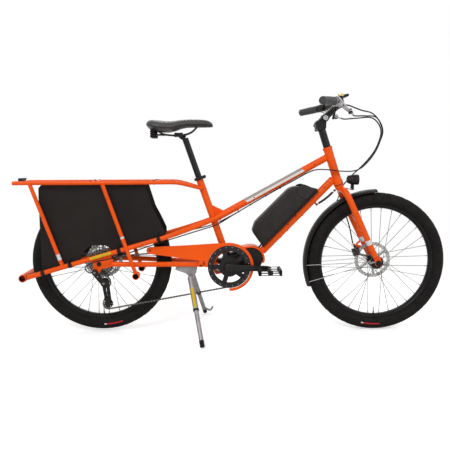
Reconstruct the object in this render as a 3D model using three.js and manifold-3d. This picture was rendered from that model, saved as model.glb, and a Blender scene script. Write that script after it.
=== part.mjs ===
// Longtail cargo bicycle with mid drive, on its two-legged centre stand.
// Front wheel towards +X, drive side towards -Y, ground at z = 0, all sizes in millimetres.
import * as THREE from "three";
import { mergeVertices } from "three/addons/utils/BufferGeometryUtils.js";
import Module from "manifold-3d";

const wasm = await Module();
wasm.setup();

// General values
const GAP = 0.3;
const RUNNING = 1;
const OVERRUN = 6;
const WELD = 0.0001;
const SIDES = 8;
const FEW_SIDES = 6;
const FINE_SIDES = 12;
const WHEEL_STEPS = 32;
const HUB_STEPS = 12;
const RING_STEPS = 24;
const ROUND_SIDES = 20;
const EDGE_SIDES = 16;
const BORE_SIDES = 10;
const THIN_SIDES = 5;
const SPOKE_SIDES = 3;
const TYRE_STEPS = 6;
const BAR_STEPS = 18;
const BEND_STEPS = 7;
const SHORT_STEPS = 5;

// Wheels
const WHEELBASE = 1224;
const TYRE_RADIUS = 310;
const TYRE_HALF = 29;
const REAR_LIFT = 10;
const RIM_HOOK = 4;
const RIM_LIP = 9;
const RIM_WALL = 6;
const RIM_OUTER = TYRE_RADIUS - TYRE_HALF - TYRE_HALF + RIM_HOOK;
const RIM_BED = RIM_OUTER - RIM_LIP;
const RIM_INNER = RIM_BED - RIM_WALL;
const RIM_HALF = 17;
const RIM_BED_HALF = 9;
const SPOKE_COUNT = 16;
const SPOKE_RADIUS = 1.3;
const SPOKE_REACH = 3;
const AXLE_RADIUS = 5;
const FLANGE_THICK = 4;
const FRONT_HUB_HALF = 50;
const FRONT_FLANGE_RADIUS = 29;
const FRONT_FLANGE_NEAR = 34;
const FRONT_FLANGE_FAR = 25;
const FRONT_SHELL_RADIUS = 19;
const REAR_HUB_HALF = 67.5;
const REAR_FLANGE_RADIUS = 31;
const REAR_FLANGE_NEAR = 20;
const REAR_FLANGE_FAR = 30;
const REAR_SHELL_RADIUS = 21;
const LOCKNUT_RADIUS = 12;
const ROTOR_RADIUS = 82;
const ROTOR_BAND = 16;
const ROTOR_THICK = 2;
const ROTOR_ARMS = 6;
const ROTOR_ARM_WIDTH = 8;
const FRONT_ROTOR_Y = 39;
const REAR_ROTOR_Y = 45;
const VALVE_RADIUS = 3;
const VALVE_LENGTH = 34;

// Steering
const HEAD_TOP_X = 388;
const HEAD_TOP_Z = 820;
const HEAD_LENGTH = 176;
const HEAD_TILT = THREE.MathUtils.degToRad(18.1);
const HEAD_RADIUS = 19;
const HEAD_CUP_RADIUS = 21.5;
const HEAD_CUP_LENGTH = 12;
const STEERER_RADIUS = 14.3;
const RACE_HEIGHT = 6;
const RISER_RADIUS = 16.5;
const RISER_LENGTH = 112;
const BLADE_RADIUS = 14;
const BLADE_TIP_RADIUS = 11;
const BLADE_HALF_TOP = 57;
const BLADE_HALF_LOW = 61;
const DROPOUT_THICK = 7;
const CROWN_DROP = 38;
const CROWN_AHEAD = 20;
const CROWN_ARCH_DROP = 10;

// Cockpit
const STEM_PIVOT_AHEAD = 27;
const STEM_PIVOT_ABOVE = 12;
const STEM_HALF = 20;
const STEM_ARM_HALF = 15;
const STEM_ARM_RADIUS = 17;
const STEM_CAP_RADIUS = 11;
const STEM_CAP_THICK = 4;
const BAR_X = 436;
const BAR_Z = 1006;
const BAR_RADIUS = 11.1;
const BAR_CLAMP_RADIUS = 20;
const GRIP_END_X = 312;
const GRIP_END_Z = 993;
const GRIP_END_HALF = 270;
const GRIP_RADIUS = 16;
const GRIP_LENGTH = 118;

// Frame
const TOP_TUBE_RADIUS = 15.5;
const TOP_TUBE_DROP = 39;
const DOWN_TUBE_RADIUS = 17;
const DOWN_TUBE_DROP = 134;
const SEAT_TUBE_RADIUS = 15.5;
const SEAT_TILT = THREE.MathUtils.degToRad(19);
const SEAT_TOP_X = -178;
const SEAT_TOP_Z = 693;
const SEAT_TUBE_LENGTH = 350;
const POST_RADIUS = 13.6;
const POST_INSERT = 100;
const POST_ABOVE = 178;
const POST_BORE_DEPTH = 215;
const RAIL_RADIUS = 10.5;
const RAIL_HALF = 80;
const RAIL_REAR_X = -932;
const RAIL_REAR_Z = 261;
const RAIL_AXLE_RISE = 31;
const STAY_RADIUS = 11;
const STAY_HALF = 76.5;
const BB_X = -46;
const BB_Z = 300;
const DRIVE_RADIUS = 62;
const DRIVE_NOSE_RADIUS = 52;
const DRIVE_NOSE_AHEAD = 98;
const DRIVE_NOSE_ABOVE = 28;
const DRIVE_NEAR = 38;
const DRIVE_FAR = 46;
const SHELL_THICK = 9;
const SHELL_HALF = 36;

// Rack
const RACK_REAR_X = -964;
const RACK_FRONT_X = -300;
const RACK_Z = 672;
const RACK_HALF = 89;
const RACK_RADIUS = 8.2;
const CROSS_RADIUS = 8;
const STRUT_RADIUS = 8.5;
const STRUT_HALF = 91;
const REAR_SOCKET_RADIUS = 17;
const REAR_SOCKET_BORE = 13.5;
const MID_SOCKET_RADIUS = 15.5;
const MID_SOCKET_BORE = 12;
const MID_SOCKET_OUT = 112;
const MID_SOCKET_IN = 72;
const SKIRT_OUT = 69;
const SKIRT_THICK = 3;
const STRAP_WIDTH = 14;
const STRAP_THICK = 2.2;

// Drive train
const CHAIN_PITCH = 12.7;
const RING_TEETH = 44;
const COG_TEETH = 12;
const PULLEY_TEETH = 12;
const CHAIN_Y = -54;
const CHAIN_HALF = 3;
const CHAIN_LINK_HALF = 3.4;
const CRANK_LENGTH = 170;
const CRANK_INNER = 74;
const CRANK_THICK = 14;
const CRANK_HUB_RADIUS = 20;
const CRANK_EYE_RADIUS = 12;
const CRANK_DROP = THREE.MathUtils.degToRad(1.5);
const SPINDLE_RADIUS = 12;
const RING_BAND = 20;
const RING_THICK = 4;
const RING_HUB_RADIUS = 36;
const RING_ARMS = 5;
const RING_ARM_WIDTH = 17;
const PEDAL_LENGTH = 98;
const PEDAL_WIDTH = 92;
const PEDAL_HEIGHT = 26;
const PEDAL_BAR = 9;
const PEDAL_PIN = 5;
const CASSETTE_RADII_SHARES = [1, 0.88, 0.75, 0.62, 0.51, 0.42];
const CASSETTE_RADIUS = 73;
const CASSETTE_INNER_Y = -25;
const CASSETTE_BORE = 17.6;
const GUIDE_X = -592;
const GUIDE_Z = 236;
const TENSION_X = -579;
const TENSION_Z = 139;
const CAGE_THICK = 2.5;
const HANGER_X = -630;
const HANGER_Z = 284;

// Centre stand
const STAND_PIVOT_X = -216;
const STAND_PIVOT_Z = 250;
const STAND_FOOT_X = -160;
const STAND_FOOT_HALF = 265;
const STAND_TOP_HALF = 62;
const STAND_LEG_RADIUS = 13;
const STAND_INNER_RADIUS = 10;
const STAND_BRACKET_HALF = 40;
const STAND_AXLE_RADIUS = 7;

// Saddle
const SADDLE_REAR_X = -400;
const SADDLE_NOSE_X = -114;
const SADDLE_TOP_Z = 944;
const SADDLE_WIDTH = 176;
const SADDLE_DEEP = 58;

// Frame details
const TOP_TUBE_SEAT_DROP = 200;
const DOWN_TUBE_END_X = 105;
const DOWN_TUBE_END_Z = 362;
const RAIL_START_SHARE = 0.82;
const RAIL_START_HALF = 17;
const RAIL_KNEE_X = -324;
const RAIL_KNEE_Z = 435;
const RAIL_BEND_SHARES = [
  [0.3, 0.38, 0.16],
  [0.59, 0.66, 0.52],
];
const GUSSET_THICK = 6;
const GUSSET_ABOVE = 78;
const GUSSET_LENGTH = 74;
const CLAMP_RADIUS = 20;
const CLAMP_HEIGHT = 14;
const CLAMP_EAR_HALF = 14;
const CLAMP_LEVER_LENGTH = 46;
const STAY_FRONT_AHEAD = -49;
const STAY_FRONT_ABOVE = 6;
const STAY_FRONT_HALF = 30;
const STAY_AHEAD = 52;
const STAY_SPREAD_SHARES = [
  [0, 0],
  [0.14, 0.13],
  [0.44, 0.47],
  [0.74, 0.9],
  [1, 1],
];
const CROSS_TUBE_HALF = 92;
const BATTERY_START = 95;
const BATTERY_LENGTH = 353;
const BATTERY_BASE = 20;
const BATTERY_DEEP = 97;
const BATTERY_HALF = 45;
const BATTERY_ROUND = 13;
const BATTERY_OUTLINE_SHARES = [
  [0, 0],
  [0.045, 0.24],
  [0.21, 0.97],
  [0.85, 1],
  [0.96, 0.81],
  [1, 0],
];
const BATTERY_RAIL_HALF = 25;
const BATTERY_RAIL_TOP = 25.7;
const BATTERY_RAIL_INSET = 10;
const DAMPER_RADIUS = 5;
const DAMPER_SEAT = 148;

// Rack details
const RACK_BEND_X = -262;
const RACK_BEND_HALF = 70;
const RACK_BEND_DROP = 3;
const RACK_SEAT_DROP = 54;
const RACK_SEAT_HALF = 15;
const RACK_CROSS_X = [-951, -633, -365];
const REAR_STRUT_TOP_X = -891;
const REAR_STRUT_FOOT_X = -767;
const MID_STRUT_TOP_X = -584;
const MID_SOCKET_X = -449;
const MID_SOCKET_Z = 271;
const REFLECTOR_WIDTH = 62;
const REFLECTOR_HEIGHT = 20;
const REFLECTOR_THICK = 10;
const SKIRT_REAR_X = -862;
const SKIRT_FRONT_X = -330;
const SKIRT_TOP_Z = 662;
const SKIRT_CORNER = 12;
const SKIRT_ARCH_RADIUS = 85;
const SKIRT_EDGE_SHARES = [
  [0.14, 1],
  [0.14, 0.95],
  [0.09, 0.57],
  [0.045, 0.37],
  [0, 0.14],
];
const STRAP_PLACES = [-853, -734, -522, -350];

// Drive train details
const RING_GUARD_Y = -61;
const RING_GUARD_THICK = 3;
const RING_GUARD_INNER = 95;
const RING_GUARD_OUTER = 107;
const RING_GUARD_TIP_X = -407;
const RING_GUARD_TIP_Z = 376;
const RING_GUARD_TIP_HALF = 15;
const RING_GUARD_ROOT_HALF = 41;
const RING_GUARD_TAB_X = -170;
const RING_GUARD_TAB_HALF = 8;
const CAGE_ROUND = 15;
const CAGE_PIN = 4;
const KNUCKLE_RADIUS = 12;
const DERAILLEUR_OUT = 92;
const CHAIN_ARC = Math.PI / 12;
const CABLE_RADIUS = 2.6;
const CABLE_STEPS = 26;
const CLIP_LENGTH = 8;
const STAND_BOSS_RADIUS = 14;
const STAND_BRACKET_FRONT_X = -190;
const STAND_BRACKET_REAR_X = -285;
const STAND_BRACKET_Z = 264;

// Saddle details
const SADDLE_EDGE_SHARE = 0.35;
const SADDLE_SKIRT_SHARE = 1;
const SADDLE_RAIL_HALF = 22;
const SADDLE_RAIL_Z = 876;
const SADDLE_RAIL_RADIUS = 3.5;
const SADDLE_SPRING_RADIUS = 14;
const SADDLE_SPRING_HALF = 34;
const SADDLE_RING_SHARES = [
  [0, 0.42, 0.66, 0.48],
  [0.03, 0.7, 0.82, 0.3],
  [0.09, 0.9, 0.9, 0.18],
  [0.18, 1, 0.95, 0.1],
  [0.3, 0.98, 0.94, 0.06],
  [0.42, 0.78, 0.92, 0.04],
  [0.52, 0.58, 0.97, 0.02],
  [0.64, 0.42, 0.97, 0],
  [0.78, 0.31, 0.9, 0],
  [0.9, 0.25, 0.8, 0.02],
  [0.97, 0.2, 0.68, 0.1],
  [1, 0.12, 0.5, 0.24],
];

// Lamp, mudguard and brakes
const LIGHT_X = 503;
const LIGHT_Z = 677;
const LIGHT_RADIUS = 23;
const LIGHT_LENGTH = 52;
const LIGHT_PIVOT_Z = 645;
const LUG_HALF = 6;
const PRONG_THICK = 3;
const PRONG_WIDTH = 12;
const GUARD_CLEARANCE = 13;
const GUARD_RADIUS = TYRE_RADIUS + GUARD_CLEARANCE;
const GUARD_THICK = 2.5;
const GUARD_HALF = 33;
const CALIPER_GRIP = 7;
const GUARD_FROM = THREE.MathUtils.degToRad(90);
const GUARD_TO = THREE.MathUtils.degToRad(200);
const GUARD_TAB = THREE.MathUtils.degToRad(123);
const GUARD_STAYS = [182, 196].map(THREE.MathUtils.degToRad);
const GUARD_STEPS = 8;
const STAY_WIRE = 1.8;
const FRONT_CALIPER_LEAN = THREE.MathUtils.degToRad(26);
const REAR_CALIPER_LEAN = THREE.MathUtils.degToRad(19);

// Controls on the bar
const POD_LENGTH = 46;
const POD_RADIUS = 17;
const LEVER_REACH = 50;
const LEVER_DROP = 42;
const LEVER_TIP_AHEAD = 58;
const LEVER_TIP_ABOVE = 16;
const LEVER_WIDTH = 12;
const LEVER_THICK = 7;
const LEVER_PIVOT_RADIUS = 5;
const EAR_THICK = 5;
const THUMB_LENGTH = 48;
const BARREL_LENGTH = 40;
const DISPLAY_LENGTH = 52;
const DISPLAY_WIDTH = 78;
const DISPLAY_THICK = 12;
const DISPLAY_TURN = THREE.MathUtils.degToRad(-14);
const DISPLAY_ABOVE = 4;
const BELL_HALF = 92;
const BELL_RADIUS = 14;
const BELL_HEIGHT = 12;
const BELL_STALK = 20;
const BELL_STEM = 2.4;
const STRIKER_LENGTH = 20;
const STRIKER_THICK = 3;
const BAR_STRAIGHT_HALF = 52;
const BAR_BEND_HALF = 122;
const BAR_BEND_BACK = 24;

// Points that several pieces share
const FRONT_X = WHEELBASE / 2;
const FRONT_Z = TYRE_RADIUS;
const REAR_X = -WHEELBASE / 2;
const REAR_Z = TYRE_RADIUS + REAR_LIFT;
const RING_PITCH = (RING_TEETH * CHAIN_PITCH) / (2 * Math.PI);
const COG_PITCH = (COG_TEETH * CHAIN_PITCH) / (2 * Math.PI);
const PULLEY_PITCH = (PULLEY_TEETH * CHAIN_PITCH) / (2 * Math.PI);
const FRONT_END = FRONT_X + TYRE_RADIUS;
const REAR_END = RACK_REAR_X;

const at = (x, y, z) => new THREE.Vector3(x, y, z);
const UP = at(0, 1, 0);
const along = (a, b, share) => a.clone().lerp(b, share);

// Materials
const paint = (color, roughness, metalness) =>
  new THREE.MeshStandardMaterial({ color, roughness, metalness });
const ORANGE = paint("#f2540f", 0.35, 0.1);
const BLACK = paint("#17171a", 0.5, 0.1);
const RUBBER = paint("#1b1b1d", 0.85, 0);
const DARK_METAL = paint("#202124", 0.35, 0.7);
const STEEL = paint("#b9bcc0", 0.3, 0.9);
const CAST = paint("#a3a5a8", 0.5, 0.7);
const PLASTIC = paint("#151517", 0.6, 0);
const PANEL = paint("#191613", 0.45, 0);

// A closed geometry as a solid that can be joined and cut.
function solid(geometry) {
  const bare = geometry.clone();
  bare.deleteAttribute("normal");
  bare.deleteAttribute("uv");
  const merged = mergeVertices(bare, WELD);
  const corners = merged.index.array;
  const kept = [];
  for (let i = 0; i < corners.length; i += 3) {
    const [a, b, c] = [corners[i], corners[i + 1], corners[i + 2]];
    if (a !== b && b !== c && a !== c) kept.push(a, b, c);
  }
  const vertProperties = new Float32Array(merged.attributes.position.array);
  const build = (list) =>
    new wasm.Manifold(
      new wasm.Mesh({
        numProp: 3,
        vertProperties,
        triVerts: new Uint32Array(list),
      }),
    );
  const made = build(kept);
  if (made.volume() >= 0) return made;
  const turned = [];
  for (let i = 0; i < kept.length; i += 3)
    turned.push(kept[i], kept[i + 2], kept[i + 1]);
  return build(turned);
}
const join = (...pieces) => pieces.reduce((whole, piece) => whole.add(piece));
const cut = (whole, ...pieces) =>
  pieces.reduce((rest, piece) => rest.subtract(piece), whole);

// A round bar from a to b, tapered when the second radius is given.
function rod(a, b, radius, sides = SIDES, endRadius = radius) {
  const way = b.clone().sub(a);
  const g = new THREE.CylinderGeometry(endRadius, radius, way.length(), sides);
  g.applyQuaternion(
    new THREE.Quaternion().setFromUnitVectors(UP, way.clone().normalize()),
  );
  const middle = along(a, b, 1 / 2);
  g.translate(middle.x, middle.y, middle.z);
  return solid(g);
}
// A rectangular block with its middle at a point.
function block(middle, sx, sy, sz, turn = 0) {
  const g = new THREE.BoxGeometry(sx, sy, sz);
  g.rotateY(turn);
  g.translate(middle.x, middle.y, middle.z);
  return solid(g);
}
// A flat bar between two points, with its width across Y.
function bar(a, b, thick, width) {
  const way = b.clone().sub(a);
  const turn = -Math.atan2(way.z, way.x);
  return block(along(a, b, 1 / 2), way.length(), width, thick, turn);
}
function circle(x, z, radius, sides = FINE_SIDES) {
  return Array.from({ length: sides }, (_, i) => {
    const t = (2 * Math.PI * i) / sides;
    return [x + radius * Math.cos(t), z + radius * Math.sin(t)];
  });
}
// An outline round two circles and the tangents between them.
function capsule(a, ra, b, rb, sides = FINE_SIDES) {
  const lean = Math.atan2(b[1] - a[1], b[0] - a[0]);
  const open = Math.acos((ra - rb) / Math.hypot(b[0] - a[0], b[1] - a[1]));
  const half = sides / 2;
  const arc = (c, r, from, to) =>
    Array.from({ length: half + 1 }, (_, i) => {
      const t = from + ((to - from) * i) / half;
      return [c[0] + r * Math.cos(t), c[1] + r * Math.sin(t)];
    });
  return [
    ...arc(a, ra, lean + open, lean + 2 * Math.PI - open),
    ...arc(b, rb, lean - open, lean + open),
  ];
}
// An outline in the XZ plane made solid from one Y to another.
function plate(outline, yFrom, yTo, holes = []) {
  const corners = outline.map(([x, z]) => new THREE.Vector2(x, z));
  if (THREE.ShapeUtils.isClockWise(corners)) corners.reverse();
  const shape = new THREE.Shape(corners);
  holes.forEach((hole) =>
    shape.holes.push(
      new THREE.Path(hole.map(([x, z]) => new THREE.Vector2(x, z))),
    ),
  );
  const g = new THREE.ExtrudeGeometry(shape, {
    depth: yTo - yFrom,
    bevelEnabled: false,
  });
  g.rotateX(Math.PI / 2);
  g.translate(0, yTo, 0);
  return solid(g);
}
const disc = (x, z, radius, yFrom, yTo, sides = FINE_SIDES) =>
  plate(circle(x, z, radius, sides), yFrom, yTo);
// The bore that a faceted shaft of this radius turns in: the flats clear its corners.
const boreOf = (radius, sides = FINE_SIDES) => (radius + GAP) / Math.cos(Math.PI / sides);
// A closed profile of [radius, y] turned about the Y axis.
function turned(profile, steps = WHEEL_STEPS) {
  const points = [...profile, profile[0]].map(([r, y]) => new THREE.Vector2(r, y));
  return solid(new THREE.LatheGeometry(points, steps));
}
// A tube of round section along a smooth curve through points.
function sweep(points, radius, steps, sides = SIDES) {
  const path = new THREE.CatmullRomCurve3(points, false, "centripetal");
  const shape = new THREE.Shape(
    circle(0, 0, radius, sides).map(([x, z]) => new THREE.Vector2(x, z)),
  );
  const g = new THREE.ExtrudeGeometry(shape, {
    steps,
    extrudePath: path,
    bevelEnabled: false,
  });
  return solid(g);
}
// A closed skin over rings that all have the same number of points.
function loft(rings) {
  const count = rings[0].length;
  const points = rings.flat();
  const faces = [];
  for (let i = 0; i + 1 < rings.length; i++)
    for (let j = 0; j < count; j++) {
      const a = i * count + j;
      const b = i * count + ((j + 1) % count);
      faces.push(a, b, a + count, b, b + count, a + count);
    }
  [0, rings.length - 1].forEach((i) => {
    const middle = rings[i]
      .reduce((sum, p) => sum.add(p), at(0, 0, 0))
      .divideScalar(count);
    points.push(middle);
    for (let j = 0; j < count; j++) {
      const a = i * count + j;
      const b = i * count + ((j + 1) % count);
      if (i === 0) faces.push(b, a, points.length - 1);
      else faces.push(a, b, points.length - 1);
    }
  });
  const g = new THREE.BufferGeometry().setFromPoints(points);
  g.setIndex(faces);
  return solid(g);
}

const bike = new THREE.Group();
bike.position.x = -(FRONT_END + REAR_END) / 2;

function add(name, made, material) {
  const data = made.getMesh();
  const step = data.numProp;
  const places = new Float32Array(data.numVert * 3);
  for (let i = 0; i < data.numVert; i++)
    places.set(data.vertProperties.subarray(i * step, i * step + 3), i * 3);
  const g = new THREE.BufferGeometry();
  g.setAttribute("position", new THREE.BufferAttribute(places, 3));
  g.setIndex(new THREE.BufferAttribute(new Uint32Array(data.triVerts), 1));
  g.computeVertexNormals();
  const mesh = new THREE.Mesh(g, material);
  mesh.name = name;
  bike.add(mesh);
  return mesh;
}

// Steering line: the head tube's axis, measured down from its top.
const headDown = at(Math.sin(HEAD_TILT), 0, -Math.cos(HEAD_TILT));
const headTop = at(HEAD_TOP_X, 0, HEAD_TOP_Z);
const onHead = (down) => headTop.clone().addScaledVector(headDown, down);
const headAhead = at(Math.cos(HEAD_TILT), 0, Math.sin(HEAD_TILT));
const headBottom = onHead(HEAD_LENGTH);

// Seat line: the seat tube's axis, measured down from its top.
const seatDown = at(Math.sin(SEAT_TILT), 0, -Math.cos(SEAT_TILT));
const seatTop = at(SEAT_TOP_X, 0, SEAT_TOP_Z);
const onSeat = (down) => seatTop.clone().addScaledVector(seatDown, down);

// Wheels

function tyre() {
  const bed = RIM_OUTER + GAP;
  const centre = TYRE_RADIUS - TYRE_HALF;
  const low = Math.asin((centre - bed) / TYRE_HALF);
  const arcSteps = TYRE_STEPS;
  const profile = [];
  for (let i = 0; i <= arcSteps; i++) {
    const t = -low + ((Math.PI + 2 * low) * i) / arcSteps;
    profile.push([centre + TYRE_HALF * Math.sin(t), TYRE_HALF * Math.cos(t)]);
  }
  return turned(profile);
}
function wheel(spec) {
  const rim = turned([
    [RIM_INNER, -RIM_BED_HALF],
    [RIM_INNER, RIM_BED_HALF],
    [RIM_BED, RIM_HALF],
    [RIM_OUTER, RIM_HALF],
    [RIM_OUTER, -RIM_HALF],
    [RIM_BED, -RIM_HALF],
  ]);
  const bore = AXLE_RADIUS + GAP;
  const hub = turned(
    [
      [bore, -spec.half],
      [spec.nearNut, -spec.half],
      [spec.nearNut, -spec.near - FLANGE_THICK / 2],
      [spec.flange, -spec.near - FLANGE_THICK / 2],
      [spec.flange, -spec.near + FLANGE_THICK / 2],
      [spec.shell, -spec.near + FLANGE_THICK / 2],
      [spec.shell, spec.far - FLANGE_THICK / 2],
      [spec.flange, spec.far - FLANGE_THICK / 2],
      [spec.flange, spec.far + FLANGE_THICK / 2],
      [spec.shell, spec.far + FLANGE_THICK / 2],
      [spec.shell, spec.rotorY + ROTOR_THICK / 2],
      [LOCKNUT_RADIUS, spec.rotorY + ROTOR_THICK / 2],
      [LOCKNUT_RADIUS, spec.half],
      [bore, spec.half],
    ],
    HUB_STEPS,
  );
  const spokes = [];
  for (let i = 0; i < SPOKE_COUNT; i++) {
    const near = i % 2 === 0;
    const lead = i % 4 < 2 ? 1 : -1;
    const rimAngle = (2 * Math.PI * i) / SPOKE_COUNT;
    const hubAngle = rimAngle + (lead * 5 * Math.PI) / SPOKE_COUNT;
    const hubY = near ? -spec.near : spec.far;
    const rimY = (near ? -RIM_BED_HALF : RIM_BED_HALF) / 3;
    const inner = spec.flange - SPOKE_REACH;
    const outer = RIM_INNER + SPOKE_REACH;
    spokes.push(
      rod(
        at(inner * Math.cos(hubAngle), hubY, inner * Math.sin(hubAngle)),
        at(outer * Math.cos(rimAngle), rimY, outer * Math.sin(rimAngle)),
        SPOKE_RADIUS,
        SPOKE_SIDES,
      ),
    );
  }
  const yLow = spec.rotorY - ROTOR_THICK / 2;
  const yHigh = spec.rotorY + ROTOR_THICK / 2;
  const band = plate(circle(0, 0, ROTOR_RADIUS), yLow, yHigh, [
    circle(0, 0, ROTOR_RADIUS - ROTOR_BAND),
  ]);
  const arms = Array.from({ length: ROTOR_ARMS }, (_, i) => {
    const t = (2 * Math.PI * (i + 1 / 2)) / ROTOR_ARMS;
    const reach = ROTOR_RADIUS - ROTOR_BAND / 2;
    const start = LOCKNUT_RADIUS;
    return bar(
      at(start * Math.cos(t), spec.rotorY, start * Math.sin(t)),
      at(reach * Math.cos(t), spec.rotorY, reach * Math.sin(t)),
      ROTOR_ARM_WIDTH,
      ROTOR_THICK,
    );
  });
  const valve = rod(
    at(0, 0, -RIM_INNER - SPOKE_REACH),
    at(0, 0, -RIM_INNER + VALVE_LENGTH),
    VALVE_RADIUS,
    FEW_SIDES,
  );
  return join(rim, hub, ...spokes, band, ...arms, valve);
}
const frontTyre = add("front_tyre", tyre(), RUBBER);
frontTyre.position.set(FRONT_X, 0, FRONT_Z);
const rearTyre = add("rear_tyre", tyre(), RUBBER);
rearTyre.position.set(REAR_X, 0, REAR_Z);
const frontWheel = add(
  "front_wheel",
  wheel({
    half: FRONT_HUB_HALF,
    near: FRONT_FLANGE_NEAR,
    far: FRONT_FLANGE_FAR,
    flange: FRONT_FLANGE_RADIUS,
    shell: FRONT_SHELL_RADIUS,
    nearNut: LOCKNUT_RADIUS,
    rotorY: FRONT_ROTOR_Y,
  }),
  DARK_METAL,
);
frontWheel.position.set(FRONT_X, 0, FRONT_Z);
const rearWheel = add(
  "rear_wheel",
  wheel({
    half: REAR_HUB_HALF,
    near: REAR_FLANGE_NEAR,
    far: REAR_FLANGE_FAR,
    flange: REAR_FLANGE_RADIUS,
    shell: REAR_SHELL_RADIUS,
    nearNut: CASSETTE_BORE * Math.cos(Math.PI / HUB_STEPS) - GAP,
    rotorY: REAR_ROTOR_Y,
  }),
  DARK_METAL,
);
rearWheel.position.set(REAR_X, 0, REAR_Z);

// Fork: steerer, crown, two blades, dropouts, axle, brake boss and light bracket

const crownTop = onHead(HEAD_LENGTH + GAP);
const crownArch = onHead(HEAD_LENGTH + CROWN_ARCH_DROP + BLADE_RADIUS / 2);
const axleFront = at(FRONT_X, 0, FRONT_Z);

function forkBlade(side, grow) {
  const start = at(crownArch.x, 0, crownArch.z);
  const shoulder = onHead(HEAD_LENGTH + CROWN_DROP).addScaledVector(
    headAhead,
    CROWN_AHEAD / 2,
  );
  shoulder.y = side * BLADE_HALF_TOP;
  const half = start.clone().lerp(shoulder, 1 / 2);
  half.y = side * BLADE_HALF_TOP * (3 / 5);
  half.z = start.z - (start.z - shoulder.z) / 4;
  const low = at(FRONT_X - BLADE_RADIUS, side * BLADE_HALF_LOW, FRONT_Z + BLADE_RADIUS * 2);
  const mid = along(shoulder, low, 1 / 2);
  const bend = sweep([start, half, shoulder, mid], BLADE_RADIUS + grow, BEND_STEPS);
  const leg = rod(mid, low, BLADE_RADIUS + grow, SIDES, BLADE_TIP_RADIUS + grow);
  return join(bend, leg);
}
function forkDropout(side, grow) {
  const inner = FRONT_HUB_HALF + GAP;
  const outer = BLADE_HALF_LOW + DROPOUT_THICK / 2;
  const outline = [
    [FRONT_X - BLADE_RADIUS * 2, FRONT_Z + BLADE_RADIUS * 3],
    [FRONT_X + BLADE_RADIUS / 2, FRONT_Z + BLADE_RADIUS * 2],
    [FRONT_X + BLADE_RADIUS, FRONT_Z + BLADE_RADIUS / 2],
    [FRONT_X + BLADE_RADIUS, FRONT_Z - BLADE_RADIUS],
    [FRONT_X - BLADE_RADIUS / 2, FRONT_Z - BLADE_RADIUS],
    [FRONT_X - BLADE_RADIUS, FRONT_Z],
  ];
  const [a, b] = side < 0 ? [-outer, -inner] : [inner, outer];
  return plate(outline, a - grow, b + grow);
}
const calX = FRONT_X - ROTOR_RADIUS * Math.cos(FRONT_CALIPER_LEAN);
const calZ = FRONT_Z + ROTOR_RADIUS * Math.sin(FRONT_CALIPER_LEAN);
const bracketRoot = onHead(HEAD_LENGTH + CROWN_ARCH_DROP).addScaledVector(
  headAhead,
  BLADE_RADIUS / 2,
);
function fork(grow = 0) {
  const steerer = rod(
    onHead(-RISER_LENGTH),
    onHead(HEAD_LENGTH + CROWN_ARCH_DROP),
    STEERER_RADIUS + grow,
    FINE_SIDES,
  );
  const race = rod(
    crownTop,
    onHead(HEAD_LENGTH + CROWN_ARCH_DROP + RACE_HEIGHT),
    HEAD_RADIUS + grow,
    FINE_SIDES,
  );
  const axle = rod(
    at(FRONT_X, -BLADE_HALF_LOW - AXLE_RADIUS * 2, FRONT_Z),
    at(FRONT_X, BLADE_HALF_LOW + AXLE_RADIUS * 2, FRONT_Z),
    AXLE_RADIUS,
  );
  const nuts = [-1, 1].map((side) => {
    const from = BLADE_HALF_LOW;
    const to = BLADE_HALF_LOW + AXLE_RADIUS * 2;
    const [a, b] = side < 0 ? [-to, -from] : [from, to];
    return disc(FRONT_X, FRONT_Z, AXLE_RADIUS * 2, a, b, SIDES);
  });
  return join(
    steerer,
    race,
    forkBlade(-1, grow),
    forkBlade(1, grow),
    forkDropout(-1, grow),
    forkDropout(1, grow),
    axle,
    ...nuts,
  );
}
// Brake boss on the far blade, behind it, reaching the caliper.
const bladeAtCaliper = at(
  FRONT_X - BLADE_RADIUS * 2,
  BLADE_HALF_LOW,
  calZ + BLADE_RADIUS,
);
const boss = bar(
  at(calX - CALIPER_GRIP, BLADE_HALF_LOW, calZ + BLADE_RADIUS * 2),
  bladeAtCaliper,
  BLADE_RADIUS,
  BLADE_RADIUS / 2,
);
const prongs = [-1, 1].map((side) =>
  block(
    at(LIGHT_X, side * (LUG_HALF + GAP + PRONG_THICK / 2), LIGHT_PIVOT_Z),
    PRONG_WIDTH,
    PRONG_THICK,
    PRONG_WIDTH * 1.4,
  ),
);
const bracketArm = bar(
  bracketRoot,
  at(LIGHT_X + PRONG_WIDTH / 2, 0, LIGHT_PIVOT_Z - PRONG_WIDTH),
  PRONG_THICK,
  2 * (LUG_HALF + GAP + PRONG_THICK),
);
const forkWhole = join(fork(), boss, bracketArm, ...prongs);
add("fork", forkWhole, ORANGE);

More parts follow.
